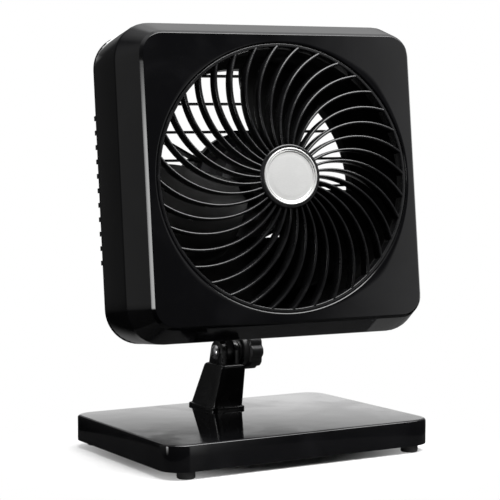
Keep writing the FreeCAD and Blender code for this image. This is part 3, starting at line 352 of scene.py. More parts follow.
def make_grain(name):
    """Spark-eroded mould grain: a fine noise with a coarser one under it."""
    group, given, out = new_group(name, [("Scale", 1400.0), ("Coarse", 0.35)], "Height")
    given = given.outputs
    fine = node(group, "ShaderNodeTexNoise", {"Vector": given["Position"], "Scale": given["Scale"],
                                              "Detail": 3.0, "Roughness": 0.6})
    coarse = node(group, "ShaderNodeTexNoise", {"Vector": given["Position"], "Scale": 160.0, "Detail": 2.0})
    part = node(group, "ShaderNodeMath", {0: coarse.outputs["Fac"], 1: given["Coarse"]}, operation="MULTIPLY")
    both = node(group, "ShaderNodeMath", {0: fine.outputs["Fac"], 1: part.outputs["Value"]}, operation="ADD")
    group.links.new(both.outputs["Value"], out.inputs["Height"])
    return group


def make_streaks(name):
    """Brushing: a noise drawn out along X by dividing that coordinate."""
    group, given, out = new_group(name, [("Across", 1600.0), ("Along", 22.0)], "Streak")
    parts = node(group, "ShaderNodeSeparateXYZ", {"Vector": given.outputs["Position"]})
    scaled = [node(group, "ShaderNodeMath", {0: parts.outputs[axis], 1: given.outputs[rate]},
                   operation="MULTIPLY").outputs["Value"]
              for axis, rate in (("X", "Along"), ("Y", "Across"), ("Z", "Across"))]
    place = node(group, "ShaderNodeCombineXYZ", dict(zip("XYZ", scaled)))
    lines = node(group, "ShaderNodeTexNoise", {"Vector": place.outputs["Vector"], "Scale": 1.0, "Detail": 4.0,
                                               "Roughness": 0.62})
    group.links.new(lines.outputs["Fac"], out.inputs["Streak"])
    return group


GROUPS = {"smudges": make_smudges, "dust": make_dust, "grain": make_grain, "streaks": make_streaks}


def effect(tree, name, position, **values):
    """Place a shared group in a material with its own values and give its output."""
    made = tree.nodes.new("ShaderNodeGroup")
    made.node_tree = group_of("fan_" + name, GROUPS[name])
    tree.links.new(position, made.inputs["Position"])
    for key, value in values.items():
        made.inputs[key].default_value = value
    return made.outputs[0]


def blend_of(tree, mask, low, high):
    """A colour that goes from low to high with a mask."""
    mix = node(tree, "ShaderNodeMix", {"Factor": mask}, data_type="RGBA")
    mix.inputs["A"].default_value = (*low, 1)
    mix.inputs["B"].default_value = (*high, 1)
    return mix.outputs["Result"]


def range_of(tree, mask, low, high, start=0.0, end=1.0):
    """A number that goes from low to high as the mask goes from start to end."""
    limits = {"Value": mask, "From Min": start, "From Max": end, "To Min": low, "To Max": high}
    return node(tree, "ShaderNodeMapRange", limits).outputs["Result"]


def new_finish(name, **constants):
    """A material with a Principled shader, its even values set, and the object's own coordinates."""
    material = bpy.data.materials.new(name)
    material.use_nodes = True
    tree = material.node_tree
    shader = tree.nodes["Principled BSDF"]
    for label, value in constants.items():
        shader.inputs[label.replace("_", " ")].default_value = value
    return material, tree, shader, tree.nodes.new("ShaderNodeTexCoord").outputs["Object"]


def relief(tree, shader, height, strength, distance):
    bump = node(tree, "ShaderNodeBump", {"Strength": strength, "Distance": distance * MM, "Height": height})
    tree.links.new(bump.outputs["Normal"], shader.inputs["Normal"])


def glossy_moulding(name, tone, smooth, rough, smudge_scale=14.0, dust=0.045, wave=0.12):
    """Polished moulded plastic: faint mould flow in its depth, wiped patches and a little dust."""
    material, tree, shader, place = new_finish(name, Specular_IOR_Level=0.5)
    smudge = effect(tree, "smudges", place, Scale=smudge_scale)
    specks = effect(tree, "dust", place)
    body = blend_of(tree, smudge, tone, [min(1, 1.35 * part + 0.0015) for part in tone])
    cover = range_of(tree, specks, 0.0, 1.0)
    dusty = node(tree, "ShaderNodeMix", {"Factor": cover, "A": body}, data_type="RGBA")
    dusty.inputs["B"].default_value = (dust, dust, dust * 0.96, 1)
    tree.links.new(dusty.outputs["Result"], shader.inputs["Base Color"])
    even = range_of(tree, smudge, smooth, rough)
    spotted = node(tree, "ShaderNodeMath", {0: even, 1: range_of(tree, specks, 0.0, 0.35)}, operation="ADD")
    tree.links.new(spotted.outputs["Value"], shader.inputs["Roughness"])
    flow = node(tree, "ShaderNodeTexNoise", {"Vector": place, "Scale": 34.0, "Detail": 2.0})
    relief(tree, shader, flow.outputs["Fac"], wave, 0.12)
    return material


def satin_moulding(name, tone, smooth, rough, grain=1400.0, depth=0.35, gloss=0.45):
    """Eroded satin plastic: fine grain, slightly polished where it is handled."""
    material, tree, shader, place = new_finish(name, Specular_IOR_Level=gloss)
    smudge = effect(tree, "smudges", place, Scale=26.0, Low=0.42, High=0.62)
    height = effect(tree, "grain", place, Scale=grain)
    body = blend_of(tree, height, [part * 0.8 for part in tone], [min(1, part * 1.3) for part in tone])
    tree.links.new(body, shader.inputs["Base Color"])
    tree.links.new(range_of(tree, smudge, rough, smooth), shader.inputs["Roughness"])
    relief(tree, shader, height, depth, 0.08)
    return material


def drawn_metal(name, tone, smooth, rough, along=22.0, across=1600.0, depth=0.12, tarnish=(0.6, 0.6, 0.6),
                metallic=1.0):
    """Metal with tool or brush lines and darker patches where it has dulled."""
    material, tree, shader, place = new_finish(name, Metallic=metallic)
    lines = effect(tree, "streaks", place, Along=along, Across=across)
    dull = effect(tree, "smudges", place, Scale=40.0)
    bright = blend_of(tree, lines, [part * 0.86 for part in tone], [min(1, part * 1.08) for part in tone])
    share = range_of(tree, dull, 0.0, 0.35)
    worn = node(tree, "ShaderNodeMix", {"Factor": share, "A": bright}, data_type="RGBA")
    worn.inputs["B"].default_value = (*(part * shade for part, shade in zip(tone, tarnish)), 1)
    tree.links.new(worn.outputs["Result"], shader.inputs["Base Color"])
    tree.links.new(range_of(tree, lines, smooth, rough), shader.inputs["Roughness"])
    relief(tree, shader, lines, depth, 0.05)
    return material


def banded(name, tone, gap, spacing, metallic, smooth, rough, axis):
    """Even fine bands along an axis, for a stack of sheets or a wound coil."""
    material, tree, shader, place = new_finish(name, Metallic=metallic)
    along = node(tree, "ShaderNodeVectorMath", {0: place, 1: tuple(axis)}, operation="DOT_PRODUCT")
    phase = node(tree, "ShaderNodeMath", {0: along.outputs["Value"], 1: math.tau / (spacing * MM)},
                 operation="MULTIPLY")
    wave = node(tree, "ShaderNodeMath", {0: phase.outputs["Value"]}, operation="SINE").outputs["Value"]
    band = node(tree, "ShaderNodeMapRange", {"Value": wave, "From Min": -1.0, "From Max": 0.2})
    mask = band.outputs["Result"]
    uneven = effect(tree, "smudges", place, Scale=60.0)
    body = blend_of(tree, mask, gap, tone)
    tree.links.new(body, shader.inputs["Base Color"])
    tree.links.new(range_of(tree, uneven, smooth, rough), shader.inputs["Roughness"])
    relief(tree, shader, wave, 0.5, 0.2)
    return material


def rough_casting(name, tone, rust):
    """Sand-cast iron: coarse lumps with a thin brown bloom."""
    material, tree, shader, place = new_finish(name, Metallic=0.6)
    height = effect(tree, "grain", place, Scale=420.0, Coarse=1.2)
    bloom = effect(tree, "smudges", place, Scale=30.0)
    tree.links.new(blend_of(tree, bloom, tone, rust), shader.inputs["Base Color"])
    tree.links.new(range_of(tree, bloom, 0.55, 0.9), shader.inputs["Roughness"])
    relief(tree, shader, height, 0.7, 0.5)
    return material


def all_finishes(wanted):
    """Every finish by its slot in the record."""
    return {
        "gloss_shell": glossy_moulding("high_gloss_shell", wanted.shell, 0.035, 0.10),
        "grille_black": glossy_moulding("semi_gloss_grille", wanted.grille, 0.20, 0.32, 40.0, 0.06, 0.2),
        "satin_black": satin_moulding("satin_housing", wanted.satin, 0.32, 0.48),
        "knob_grey": satin_moulding("satin_knob", wanted.knob, 0.34, 0.5, 1100.0, 0.5),
        "badge_silver": drawn_metal("brushed_badge", wanted.badge, 0.30, 0.5, 26.0, 2100.0, 0.10,
                                    (0.9, 0.9, 0.9), 0.4),
        "bright_chrome": drawn_metal("polished_bolt", (0.6, 0.6, 0.61), 0.2, 0.3, 60.0, 500.0, 0.05),
        "zinc_steel": drawn_metal("zinc_plate", (0.58, 0.58, 0.56), 0.28, 0.46, 90.0, 700.0, 0.15),
        "foot_rubber": satin_moulding("foot_rubber", (0.02, 0.02, 0.02), 0.7, 0.9, 700.0, 0.8),
        "brass": drawn_metal("turned_brass", (0.72, 0.52, 0.22), 0.25, 0.4, 800.0, 800.0, 0.2),
        "white_nylon": satin_moulding("natural_nylon", (0.72, 0.71, 0.66), 0.4, 0.55, 900.0, 0.2),
        "ballast_iron": rough_casting("cast_ballast", (0.10, 0.10, 0.10), (0.12, 0.06, 0.03)),
        "motor_alloy": drawn_metal("die_cast_motor", (0.30, 0.30, 0.31), 0.38, 0.55, 300.0, 300.0, 0.3),
        "lamination": banded("stacked_sheets", (0.32, 0.32, 0.34), (0.06, 0.06, 0.07), 0.5, 1.0, 0.35, 0.5,
                             AXIS),
        "coil_copper": banded("wound_copper", (0.62, 0.24, 0.10), (0.12, 0.04, 0.02), 0.7, 0.8, 0.25, 0.4,
                              AXIS),
        "pointer_white": satin_moulding("printed_pointer", (0.82, 0.82, 0.8), 0.45, 0.6, 1500.0, 0.15),
    }


FINISH = {}


# ---------------------------------------------------------------- pieces
def housing_skin(sizes):
    """The front shell as one closed skin.

    Each ring is a rounded square whose corner circles share their centres, so its corner radius is its
    half width less the distance of those centres. Across the flat face, and again behind it, a ring is
    a share of the way from the opening's circle to the square at the same polar angle.
    """
    half, depth, wall = sizes.front_half / MM, sizes.depth / MM, sizes.wall / MM
    reach, bevel, edge = sizes.side_half / MM, sizes.bevel_depth / MM, sizes.edge / MM
    profile = soften([(half - 1.4, 0), (half, 0), (half + 3, 4), (reach, bevel), (reach, depth),
                      (reach - wall, depth), (reach - wall, bevel), (half, wall), (half - 2, wall)],
                     [0, 0.7, 0.9, edge, 0.8, 0.3, edge, 1, 0])
    square = rounded_ring(profile[:, 0], profile[:, 0], profile[:, 0] - sizes.corner_centre)
    outer = stacked(square, profile[:, 1])
    polar = np.arctan2(square[0, :, 1], square[0, :, 0])
    round_edge = np.stack([np.cos(polar), np.sin(polar)], -1)
    turn = np.linspace(0, math.pi / 2, 6)
    lip_radius = np.append(sizes.opening, sizes.opening + sizes.lip * (1 - np.cos(turn)))
    lip_depth = np.append(sizes.wall, sizes.lip * (1 - np.sin(turn)))
    lip = stacked(round_edge[None] * lip_radius[:, None, None], lip_depth)
    share = np.linspace(0, 1, 9)[1:-1, None, None]
    face = stacked((1 - share) * lip[-1, None, :, :2] + share * square[0], np.zeros(7))
    back = stacked((1 - share[::-1]) * lip[0, None, :, :2] + share[::-1] * square[-1], np.full(7, sizes.wall))
    rows = np.concatenate([lip, face, outer, back])
    return HEAD(rows[..., [0, 2, 1]])


class FAN_OT_housing(bpy.types.Operator):
    """Build the glossy square shell and the round air shroud inside it."""

    bl_idname = "fan.housing"
    bl_label = "Housing"

    def execute(self, context):
        sizes = context.scene.fan_housing
        build_piece("housing_shell", [(housing_skin(sizes), True, True)], "head",
                    FINISH["gloss_shell"], ["front_frame"], 30)
        shroud = soften([(138.8, 3.1), (141.2, 3.1), (141.2, 80), (132.5, 113.9), (130.1, 113.9),
                         (138.8, 80)], [0.3, 0.3, 14, 0.4, 0.4, 14])
        build_piece("air_channel", [(HEAD(turned(shroud, 128)), True, True)], "head",
                    FINISH["duct_black"], ["air_shroud"])
        return {"FINISHED"}


def dome_front(radius, sizes):
    """Depth of the grille's front at a radius: the hub front plus a rise with the power 1.5 of radius."""
    return -sizes.hub_front + (sizes.hub_front + 1 * MM) * (radius / sizes.rim) ** 1.5


def spiral_vanes(sizes):
    """All vanes at once.

    The path is an arc that leaves the hub along a radius. The section is a rounded bar: two half circles
    at the front and back edges joined by straight flanks, set across the path and along the axis, and
    the front edge follows the dome.
    """
    root, arc, longest = 30.5 * MM, sizes.vane_arc, 1.3
    swing = np.linspace(0, longest, 44)[:, None]
    centre = np.array([root, -arc])
    path = centre + arc * np.concatenate([np.sin(swing), np.cos(swing)], -1)
    radius = np.linalg.norm(path, axis=1)
    path = path[radius < sizes.rim - 1.2 * MM]
    radius = np.linalg.norm(path, axis=1)
    side = (path - centre) / arc
    half = sizes.vane_thick / 2 * np.interp(radius, [root, sizes.rim], [0.86, 1.12])
    turn = np.concatenate([np.linspace(0, math.pi, 7), np.linspace(math.pi, math.tau, 7)])
    tall = np.where(np.arange(14) < 7, 0.0, 1.0)
    front = dome_front(radius, sizes)[:, None]
    offset = half[:, None] * np.cos(turn)
    run = (sizes.vane_depth - 2 * half)[:, None]
    along = front + half[:, None] + run * tall - half[:, None] * np.sin(turn)
    flat = path[:, None] + side[:, None] * offset[..., None]
    bar = closed_ends(np.stack([flat[..., 0], along, flat[..., 1]], -1))
    turn_by = np.arange(sizes.vanes)[:, None, None] * math.tau / sizes.vanes
    x, y, z = bar[..., 0], bar[..., 1], bar[..., 2]
    turned_x = x * np.cos(turn_by) - z * np.sin(turn_by)
    turned_z = x * np.sin(turn_by) + z * np.cos(turn_by)
    return np.stack([turned_x, np.broadcast_to(y, turned_x.shape), turned_z], -1)


class FAN_OT_grille(bpy.types.Operator):
    """Build the spiral grille with its rim and hub, and the blank badge."""

    bl_idname = "fan.grille"
    bl_label = "Grille and badge"

    def execute(self, context):
        sizes = context.scene.fan_grille
        vanes = spiral_vanes(sizes)
        rim = soften([(135, 1), (138.7, 1), (138.7, 15), (135, 15)], 0.9)
        hub = soften([(0, -10), (29.2, -10), (29.2, -12), (33, -12), (33, -2), (31, -2), (31, -8), (0, -8)],
                     [0, 0.1, 0.3, 1.6, 0.5, 0.5, 1, 0])
        sheets = [(HEAD(vanes), False, True), (HEAD(turned(rim, 144)), True, True),
                  (HEAD(turned(hub)), True, False)]
        build_piece("spiral_grille", sheets, "head", FINISH["grille_black"], ["front_grille"])
        bezel = soften([(27.5, -10), (27.5, -13.4), (29.2, -13.4), (29.2, -10)], [0, 0.8, 0.8, 0])
        build_piece("badge_ring", [(HEAD(turned(bezel, 96)), True, True)], "head",
                    FINISH["badge_silver"], ["badge_bezel"])
        badge = soften([(0, -10), (27.5, -10), (27.5, -11.9), (25.9, -12.3), (25.2, -11.5), (20, -11.8),
                        (0, -12)], [0, 0.1, 0.5, 0.5, 0.4, 30, 0])
        build_piece("blank_badge", [(HEAD(turned(badge, 96)), True, False)], "head",
                    FINISH["badge_silver"], ["hub_badge"])
        return {"FINISHED"}


def petal_blades(sizes):
    """All blades at once.

    Going outwards, the half width grows as a sine to its widest near nine tenths of the way and closes
    again at a rounded tip. Across it, the blade is pitched less and less towards the tip and cambered by
    a parabola, and its thickness falls to a thin edge as the square root of a parabola.
    """
    out = np.linspace(0, 1, 34)[:, None]
    section = np.linspace(0, math.tau, 36, endpoint=False)[None, :]
    cross = np.cos(section)
    root = sizes.hub - 4 * MM
    width = (12 + 50 * np.sin(np.minimum(out / 0.82, 1) * math.pi / 2) ** 1.05) * MM
    width = width * np.sqrt(np.clip(1 - np.clip((out - 0.80) / 0.235, 0, 1) ** 2.6, 0, 1))
    tip = sizes.tip - 7 * MM * np.abs(cross) ** 3
    radius = root + out * (tip - root)
    chord = width * (cross - 0.03 * np.sin(out * math.pi))
    pitch = sizes.root_pitch + (sizes.tip_pitch - sizes.root_pitch) * out
    camber = 0.08 * width * (1 - cross**2)
    thick = 1.15 * MM * np.sqrt(np.clip(1 - cross**2, 0, 1)) * np.sign(np.sin(section))
    rise = camber + thick
    tangent = chord * np.cos(pitch) - rise * np.sin(pitch)
    depth = sizes.plane + chord * np.sin(pitch) + rise * np.cos(pitch)
    angle = sizes.first + np.arange(sizes.blades)[:, None, None] * math.tau / sizes.blades
    x = radius * np.cos(angle) + tangent * np.sin(angle)
    z = radius * np.sin(angle) - tangent * np.cos(angle)
    return closed_ends(np.stack([x, np.broadcast_to(depth, x.shape), z], -1))


class FAN_OT_blades(bpy.types.Operator):
    """Build the pitched petal blades, their hub and its nut."""

    bl_idname = "fan.blades"
    bl_label = "Blades"

    def execute(self, context):
        sizes = context.scene.fan_blades
        hub = soften([(4, 36), (26, 36), (31, 41), (31, 72), (29, 72), (29, 42), (10, 39), (10, 70), (4, 70)],
                     [0.1, 3, 3, 0.6, 0.6, 2, 1, 0.4, 0.1])
        sheets = [(HEAD(petal_blades(sizes)), False, True), (HEAD(turned(hub)), True, True)]
        build_piece("petal_blades", sheets, "fan", FINISH["blade_black"], ["fan_blades"])
        nut = soften([(4, 27), (8, 27), (11, 30), (11, 36), (4, 36)], [0.3, 1.5, 1.5, 0.3, 0])
        build_piece("spinner_nut", [(HEAD(turned(nut, 120)), True, True)], "fan",
                    FINISH["satin_black"], ["fan_nut"])
        return {"FINISHED"}


class FAN_OT_base(bpy.types.Operator):
    """Build the mirror-gloss base cover and its rubber feet."""

    bl_idname = "fan.base"
    bl_label = "Base"

    def execute(self, context):
        sizes = context.scene.fan_stand
        low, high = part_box("base_cover")
        bottom, top = low.z / MM, high.z / MM
        edge = sizes.base_edge / MM
        profile = soften([(edge + 2, top), (0, top), (0, bottom), (3, bottom), (3, top - 3), (6, top - 3)],
                         [0, edge, 0.8, 0.3, 1, 0], 9)
        inset = profile[:, 0]
        rings = rounded_ring(sizes.base_width / 2 - inset, sizes.base_depth / 2 - inset,
                             sizes.base_corner - inset, 12)
        rows = closed_ends(stacked(rings, profile[:, 1]))
        build_piece("base_shell", [(STAND(rows), False, True)], "base", FINISH["gloss_shell"],
                    ["base_cover"], 30)
        wide = sizes.foot / MM
        foot = soften([(0, 0), (wide, 0), (wide, 8), (4, 8), (4, 10.5), (0, 10.5)],
                      [0, 1.6, 0.5, 0.3, 0.2, 0])
        one = UPRIGHT(turned(foot, 48))
        places = np.array([(x * 140, y * 107, 0) for x in (-1, 1) for y in (-1, 1)]) * MM
        build_piece("rubber_feet", [(one[None] + places[:, None, None], True, False)], "base",
                    FINISH["foot_rubber"], ["base_feet"])
        return {"FINISHED"}


def ear_outline(radius):
    """Half-round top on a foot that widens backwards.

    The back flank is the tangent from the foot's corner to the half-round.
    """
    centre, foot = np.array([-20.5, 66]) * MM, np.array([-1.0, 46]) * MM
    reach = foot - centre
    lean = math.atan2(reach[1], reach[0]) + math.acos(radius / np.linalg.norm(reach))
    arc = np.linspace(lean, math.pi, 28)
    top = centre + radius * np.stack([np.cos(arc), np.sin(arc)], -1)
    front_foot = np.array([top[-1, 0], foot[1]])
    share = np.linspace(0, 1, 8)[1:, None]
    down = top[-1] * (1 - share) + front_foot * share
    along = front_foot * (1 - share) + foot * share
    up = foot * (1 - share[:-1]) + top[0] * share[:-1]
    return np.concatenate([top, down, along, up])


def neck_stack():
    """Rounded rectangles from the flange up to the leaning shoulder, whose rim is a quarter round."""
    turn = np.linspace(0, math.pi / 2, 7)
    rim = 1.2
    height = np.concatenate([[0.02, 0.3], 3.5 - rim + rim * np.sin(turn), [4.1], np.linspace(5, 49, 9),
                             49.5 + 3.5 * np.sin(turn)])
    grow = np.clip((height - 3.5) / 49.5, 0, 1)
    flange = np.concatenate([[3, 3], 3 - rim + rim * np.cos(turn), [0.25], np.zeros(9 + 7)])
    draw = np.concatenate([np.zeros(10 + 9), 3.5 * (1 - np.cos(turn))])
    half_width = 19 - 3.3 * grow + flange - draw
    half_depth = 28.5 - 6.5 * grow + flange - draw
    corner = np.maximum(4 + flange - 0.4 * draw, 1)
    rings = rounded_ring(half_width * MM, half_depth * MM, corner * MM, 6, 8)
    rings[..., 1] -= (20.5 * np.clip((height - 1.75) / 51.25, 0, 1) * MM)[:, None]
    return closed_ends(stacked(rings, height * MM))


class FAN_OT_neck(bpy.types.Operator):
    """Build the leaning neck with its two ears, and the arm that it holds."""

    bl_idname = "fan.neck"
    bl_label = "Neck and arm"

    def execute(self, context):
        ear = ear_outline(context.scene.fan_stand.ear)
        ears = [(DECK(plate(ear, side * 5 * MM, side * 11.7 * MM, side * 0.9 * MM)), False, True)
                for side in (-1, 1)]
        build_piece("leaning_neck", [(DECK(neck_stack()), False, True)] + ears, "base",
                    FINISH["neck_black"], ["neck_column"])
        turn = np.linspace(math.pi, math.tau, 30)
        eye = 12.5 * np.stack([np.cos(turn), np.sin(turn)], -1)
        lug = np.concatenate([eye, [[11.6, 6], [10, 14], [10, 22], [-10, 22], [-10, 14], [-11.6, 6]]]) * MM
        end = np.linspace(0, math.pi / 2, 6)
        height = np.concatenate([17 + 2 * (1 - np.cos(end)), [60], 104 - 2 * (1 - np.cos(end[::-1]))])
        draw = np.concatenate([2 * (1 - np.sin(end)), [0], 2 * (1 - np.sin(end[::-1]))])
        post = rounded_ring((11 - draw) * MM, (13 - draw) * MM, np.maximum(4 - 0.5 * draw, 1) * MM, 5, 8)
        socket = soften([(8, 99), (8, 126), (17, 126), (17, 96), (3, 96), (3, 99)],
                        [0.2, 0.8, 1.6, 2.5, 0.3, 0.3])
        upright = frame_of(PIVOT, X_AXIS, SWIVEL, np.cross(SWIVEL, X_AXIS))
        build_piece("tilting_arm", [(ARM(plate(lug, -4.2 * MM, 4.2 * MM, 0.6 * MM)), False, True),
                                    (ARM(closed_ends(stacked(post, height * MM))), False, True),
                                    (upright(turned(socket)), True, True)],
                    "arm", FINISH["neck_black"], ["tilt_arm"])
        return {"FINISHED"}


def lobed(profile, count, depth, from_radius, turns=192):
    """A turned profile whose outer part is hollowed by evenly spaced rounded scallops."""
    shape = turned(profile, turns)
    angle = np.linspace(0, math.tau, turns, endpoint=False)[:, None]
    scallop = ((1 - np.cos(count * angle)) / 2) ** 2.2
    reach = np.clip((profile[:, 0] - from_radius) / (profile[:, 0].max() - from_radius), 0, 1)
    shrink = 1 - depth * scallop * reach / np.maximum(profile[:, 0], 1e-6)
    shape[..., 0] *= shrink
    shape[..., 2] *= shrink
    return shape


class FAN_OT_clamp(bpy.types.Operator):
    """Build the lobed clamp knob and its domed bolt."""

    bl_idname = "fan.clamp"
    bl_label = "Clamp"

    def execute(self, context):
        sizes = context.scene.fan_stand
        wide = sizes.knob / MM
        grip = soften([(0, 13.2), (12.4, 13.2), (12.4, 16.7), (17, 16.7), (17, 23.2), (wide, 24.2),
                       (wide, 39.2), (15.5, 39.2), (14.5, 38.2), (0, 38.2)],
                      [0, 0.4, 0.8, 0.8, 0.8, 0.8, 1.8, 0.6, 0.6, 0])
        build_piece("lobed_knob", [(CLAMP(lobed(grip, sizes.lobes, 2.8 * MM, 17.2 * MM)), True, False)],
                    "clamp", FINISH["knob_grey"], ["clamp_knob"])
        bolt = soften([(0, -16.2), (3.4, -16.1), (6.6, -15), (8.6, -12.9), (8.6, -11.75), (3, -11.75),
                       (3, 36.6), (0, 36.6)], [0, 8, 5, 1.2, 0.2, 0.2, 0.5, 0])
        build_piece("domed_bolt", [(CLAMP(turned(bolt)), True, False)], "base",
                    FINISH["bright_chrome"], ["clamp_bolt"])
        return {"FINISHED"}


class FAN_OT_selector(bpy.types.Operator):
    """Build the ribbed speed knob on the back of the motor pod."""

    bl_idname = "fan.selector"
    bl_label = "Speed knob"

    def execute(self, context):
        knob = soften([(0, -16.4), (3, -16.4), (3, 0.35), (12.5, 0.35), (11.4, 13), (9.4, 13), (8.9, 12.4),
                       (0, 12.4)], [0, 0.3, 0.1, 0.8, 1.4, 0.4, 0.3, 0])
        build_piece("ribbed_knob", [(SELECTOR(lobed(knob, 24, 0.7 * MM, 9 * MM, 240)), True, False)],
                    "selector", FINISH["knob_grey"], ["speed_knob"])
        return {"FINISHED"}


class FAN_OT_finishes(bpy.types.Operator):
    """Give every piece that is kept from the frame its finish."""

    bl_idname = "fan.finishes"
    bl_label = "Finishes"

    def execute(self, context):
        wanted = context.scene.fan_finish
        FINISH.update(all_finishes(wanted))
        FINISH["neck_black"] = glossy_moulding("neck_plastic", wanted.satin, 0.2, 0.3, 30.0, 0.04, 0.2)
        FINISH["blade_black"] = satin_moulding("dark_blades", (0.003, 0.003, 0.003), 0.45, 0.6, 1400.0, 0.2,
                                               0.25)
        FINISH["duct_black"] = satin_moulding("matt_duct", (0.004, 0.004, 0.004), 0.6, 0.8, 1200.0, 0.4, 0.12)
        for part in frame["record"]["subparts"]:
            mesh = frame["nodes"][part["node"]].data
            mesh.materials.clear()
            mesh.materials.append(FINISH[part["material_slot"]])
        return {"FINISHED"}


# ---------------------------------------------------------------- stage
def card(tree, angle, low, high, soft, strength):
    """A pale upright card of the studio between two compass angles, with soft sides."""
    sides = []
    for outside, inside in ((low - soft, low + soft), (high + soft, high - soft)):
        side = node(tree, "ShaderNodeMapRange", {"Value": angle, "From Min": outside, "From Max": inside},
                    interpolation_type="SMOOTHSTEP")
        sides.append(side.outputs["Result"])
    both = node(tree, "ShaderNodeMath", {0: sides[0], 1: sides[1]}, operation="MULTIPLY").outputs["Value"]
    return node(tree, "ShaderNodeMath", {0: both, 1: strength}, operation="MULTIPLY").outputs["Value"]


def studio_world(wall):
    """A dim room with soft cards round it; straight views of it are plain white."""
    world = bpy.data.worlds.new("studio")
    bpy.context.scene.world = world
    world.use_nodes = True
    tree = world.node_tree
    direction = tree.nodes.new("ShaderNodeTexCoord").outputs["Generated"]
    way = node(tree, "ShaderNodeSeparateXYZ", {"Vector": direction})
    turn = node(tree, "ShaderNodeMath", {0: way.outputs["Y"], 1: way.outputs["X"]}, operation="ARCTAN2")
    degrees = node(tree, "ShaderNodeMath", {0: turn.outputs["Value"], 1: 180 / math.pi}, operation="MULTIPLY")
    behind = node(tree, "ShaderNodeMath", {0: degrees.outputs["Value"], 1: -130.0}, operation="LESS_THAN")
    wrap = node(tree, "ShaderNodeMath", {0: behind.outputs["Value"], 1: 360.0}, operation="MULTIPLY")
    angle = node(tree, "ShaderNodeMath", {0: degrees.outputs["Value"], 1: wrap.outputs["Value"]},
                 operation="ADD").outputs["Value"]
    height = way.outputs["Z"]
    total = range_of(tree, height, 0.03, 0.8, 0.55, 0.9)
    upper = range_of(tree, height, 0.1 * wall, 0.45 * wall, 0.2, 0.42)
    low_band = range_of(tree, height, 1.1 * wall, 0.0, 0.155, 0.18)
    horizon = node(tree, "ShaderNodeMath", {0: upper, 1: low_band}, operation="ADD").outputs["Value"]
    level = node(tree, "ShaderNodeMath", {0: height}, operation="ABSOLUTE").outputs["Value"]
    narrow = range_of(tree, level, 0.0, 9.0, 0.16, 0.1)
    for low, high, soft, strength in ((28, 80, 8, horizon), (172, 183, 3, narrow), (128, 166, 10, 0.2),
                                      (-71.5, -62, 4.5, 1.0)):
        part = card(tree, angle, low, high, soft, strength)
        total = node(tree, "ShaderNodeMath", {0: total, 1: part}, operation="ADD").outputs["Value"]
    low_dim = range_of(tree, height, 0.1, 1.0, -0.17, -0.09)
    total = node(tree, "ShaderNodeMath", {0: total, 1: low_dim}, operation="MULTIPLY").outputs["Value"]
    straight = tree.nodes.new("ShaderNodeLightPath").outputs["Is Camera Ray"]
    shown = node(tree, "ShaderNodeMix", {"Factor": straight, "A": total, "B": 1.0}, data_type="FLOAT")
    tree.links.new(shown.outputs["Result"], tree.nodes["Background"].inputs["Strength"])
    tree.nodes["Background"].inputs["Color"].default_value = (1, 1, 1, 1)


def softbox(name, place, target, size, power):
    """A square area lamp turned to look at a point."""
    data = bpy.data.lights.new(name, "AREA")
    data.shape, data.size, data.energy = "SQUARE", size, power
    lamp = bpy.data.objects.new(name, data)
    lamp.location = place
    lamp.rotation_euler = (Vector(target) - lamp.location).to_track_quat("-Z", "Y").to_euler()
    bpy.context.scene.collection.objects.link(lamp)
    return lamp


def pale_floor():
    """A round floor: radius and angle on a grid, drawn together at its middle."""
    radius = np.linspace(0, 1, 5)[:, None]
    angle = np.linspace(0, math.tau, 64, endpoint=False)[None, :]
    drop = np.full_like(radius, -0.0003)
    points = np.stack(np.broadcast_arrays(radius * np.cos(angle), radius * np.sin(angle), drop), -1)
    mesh = bpy.data.meshes.new("pale_floor")
    mesh.from_pydata(points.reshape(-1, 3).tolist(), [], grid_faces(1, 5, 64, False, True).tolist())
    floor = bpy.data.objects.new("pale_floor", mesh)
    bpy.context.scene.collection.objects.link(floor)
    material, tree, shader, place = new_finish("pale_floor", Roughness=0.7, Specular_IOR_Level=0.2)
    patch = effect(tree, "smudges", place, Scale=1.4)
    tree.links.new(blend_of(tree, patch, (0.9, 0.9, 0.9), (0.87, 0.87, 0.87)), shader.inputs["Base Color"])
    distance = node(tree, "ShaderNodeVectorMath", {0: place}, operation="LENGTH").outputs["Value"]
    fade = node(tree, "ShaderNodeMapRange", {"Value": distance, "From Min": 0.1, "From Max": 0.3},
                interpolation_type="SMOOTHSTEP").outputs["Result"]
    mirrored = tree.nodes.new("ShaderNodeLightPath").outputs["Is Glossy Ray"]
    hidden = node(tree, "ShaderNodeMath", {0: mirrored, 1: 0.97}, operation="MULTIPLY").outputs["Value"]
    clear = node(tree, "ShaderNodeMath", {0: fade, 1: hidden}, operation="MAXIMUM").outputs["Value"]
    through = tree.nodes.new("ShaderNodeBsdfTransparent").outputs["BSDF"]
    both = node(tree, "ShaderNodeMixShader", {0: clear, 1: shader.outputs["BSDF"], 2: through})
    tree.links.new(both.outputs["Shader"], tree.nodes["Material Output"].inputs["Surface"])
    mesh.materials.append(material)


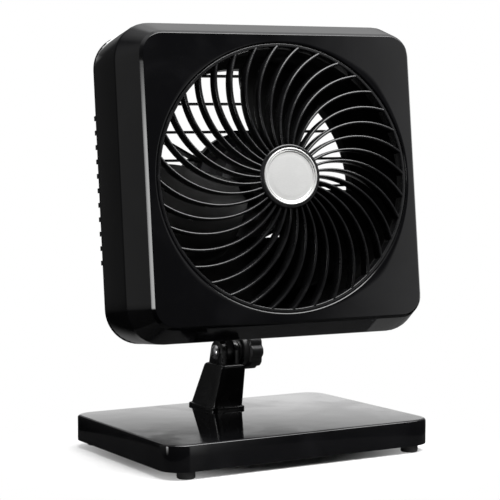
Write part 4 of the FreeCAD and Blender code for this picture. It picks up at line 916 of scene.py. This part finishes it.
class FAN_OT_stage(bpy.types.Operator):
    """Build the pale floor, the soft studio light and the camera."""

    bl_idname = "fan.stage"
    bl_label = "Stage"

    def execute(self, context):
        settings = context.scene.fan_stage
        pale_floor()
        studio_world(settings.wall)
        softbox("overhead_box", (0.4, -0.7, 2.3), (0, 0, 0.3), 2.4, settings.lamp)
        data = bpy.data.cameras.new("front_left_camera")
        data.lens, data.sensor_width = settings.lens, 36
        camera = bpy.data.objects.new("front_left_camera", data)
        camera.location = (-0.8546, -1.4299, 0.3147)
        camera.rotation_euler = (math.radians(90 - 3.2), 0, math.radians(-30.84))
        context.scene.collection.objects.link(camera)
        context.scene.camera = camera
        context.scene.view_settings.view_transform = "Standard"
        return {"FINISHED"}


class FAN_PT_panel(bpy.types.Panel):
    """The fan's steps and settings."""

    bl_idname = "FAN_PT_panel"
    bl_label = "Box fan"
    bl_space_type = "VIEW_3D"
    bl_region_type = "UI"
    bl_category = "Fan"

    def draw(self, context):
        for step in STEPS:
            self.layout.operator(step.bl_idname)
        for name in SETTINGS:
            group = getattr(context.scene, name)
            for key in group.__annotations__:
                self.layout.prop(group, key)


SETTINGS = {"fan_housing": HousingSettings, "fan_grille": GrilleSettings, "fan_blades": FanSettings,
            "fan_stand": StandSettings, "fan_finish": FinishSettings, "fan_stage": StageSettings}
STEPS = (FAN_OT_finishes, FAN_OT_housing, FAN_OT_grille, FAN_OT_blades, FAN_OT_base, FAN_OT_neck,
         FAN_OT_clamp, FAN_OT_selector, FAN_OT_stage)


def register():
    for kind in (*SETTINGS.values(), *STEPS, FAN_PT_panel):
        bpy.utils.register_class(kind)
    for name, kind in SETTINGS.items():
        setattr(bpy.types.Scene, name, PointerProperty(type=kind))


def unregister():
    for name in SETTINGS:
        delattr(bpy.types.Scene, name)
    for kind in (FAN_PT_panel, *reversed(STEPS), *reversed(tuple(SETTINGS.values()))):
        bpy.utils.unregister_class(kind)


def main():
    register()
    for step in STEPS:
        group, name = step.bl_idname.split(".")
        getattr(getattr(bpy.ops, group), name)()


if __name__ == "__main__":
    main()
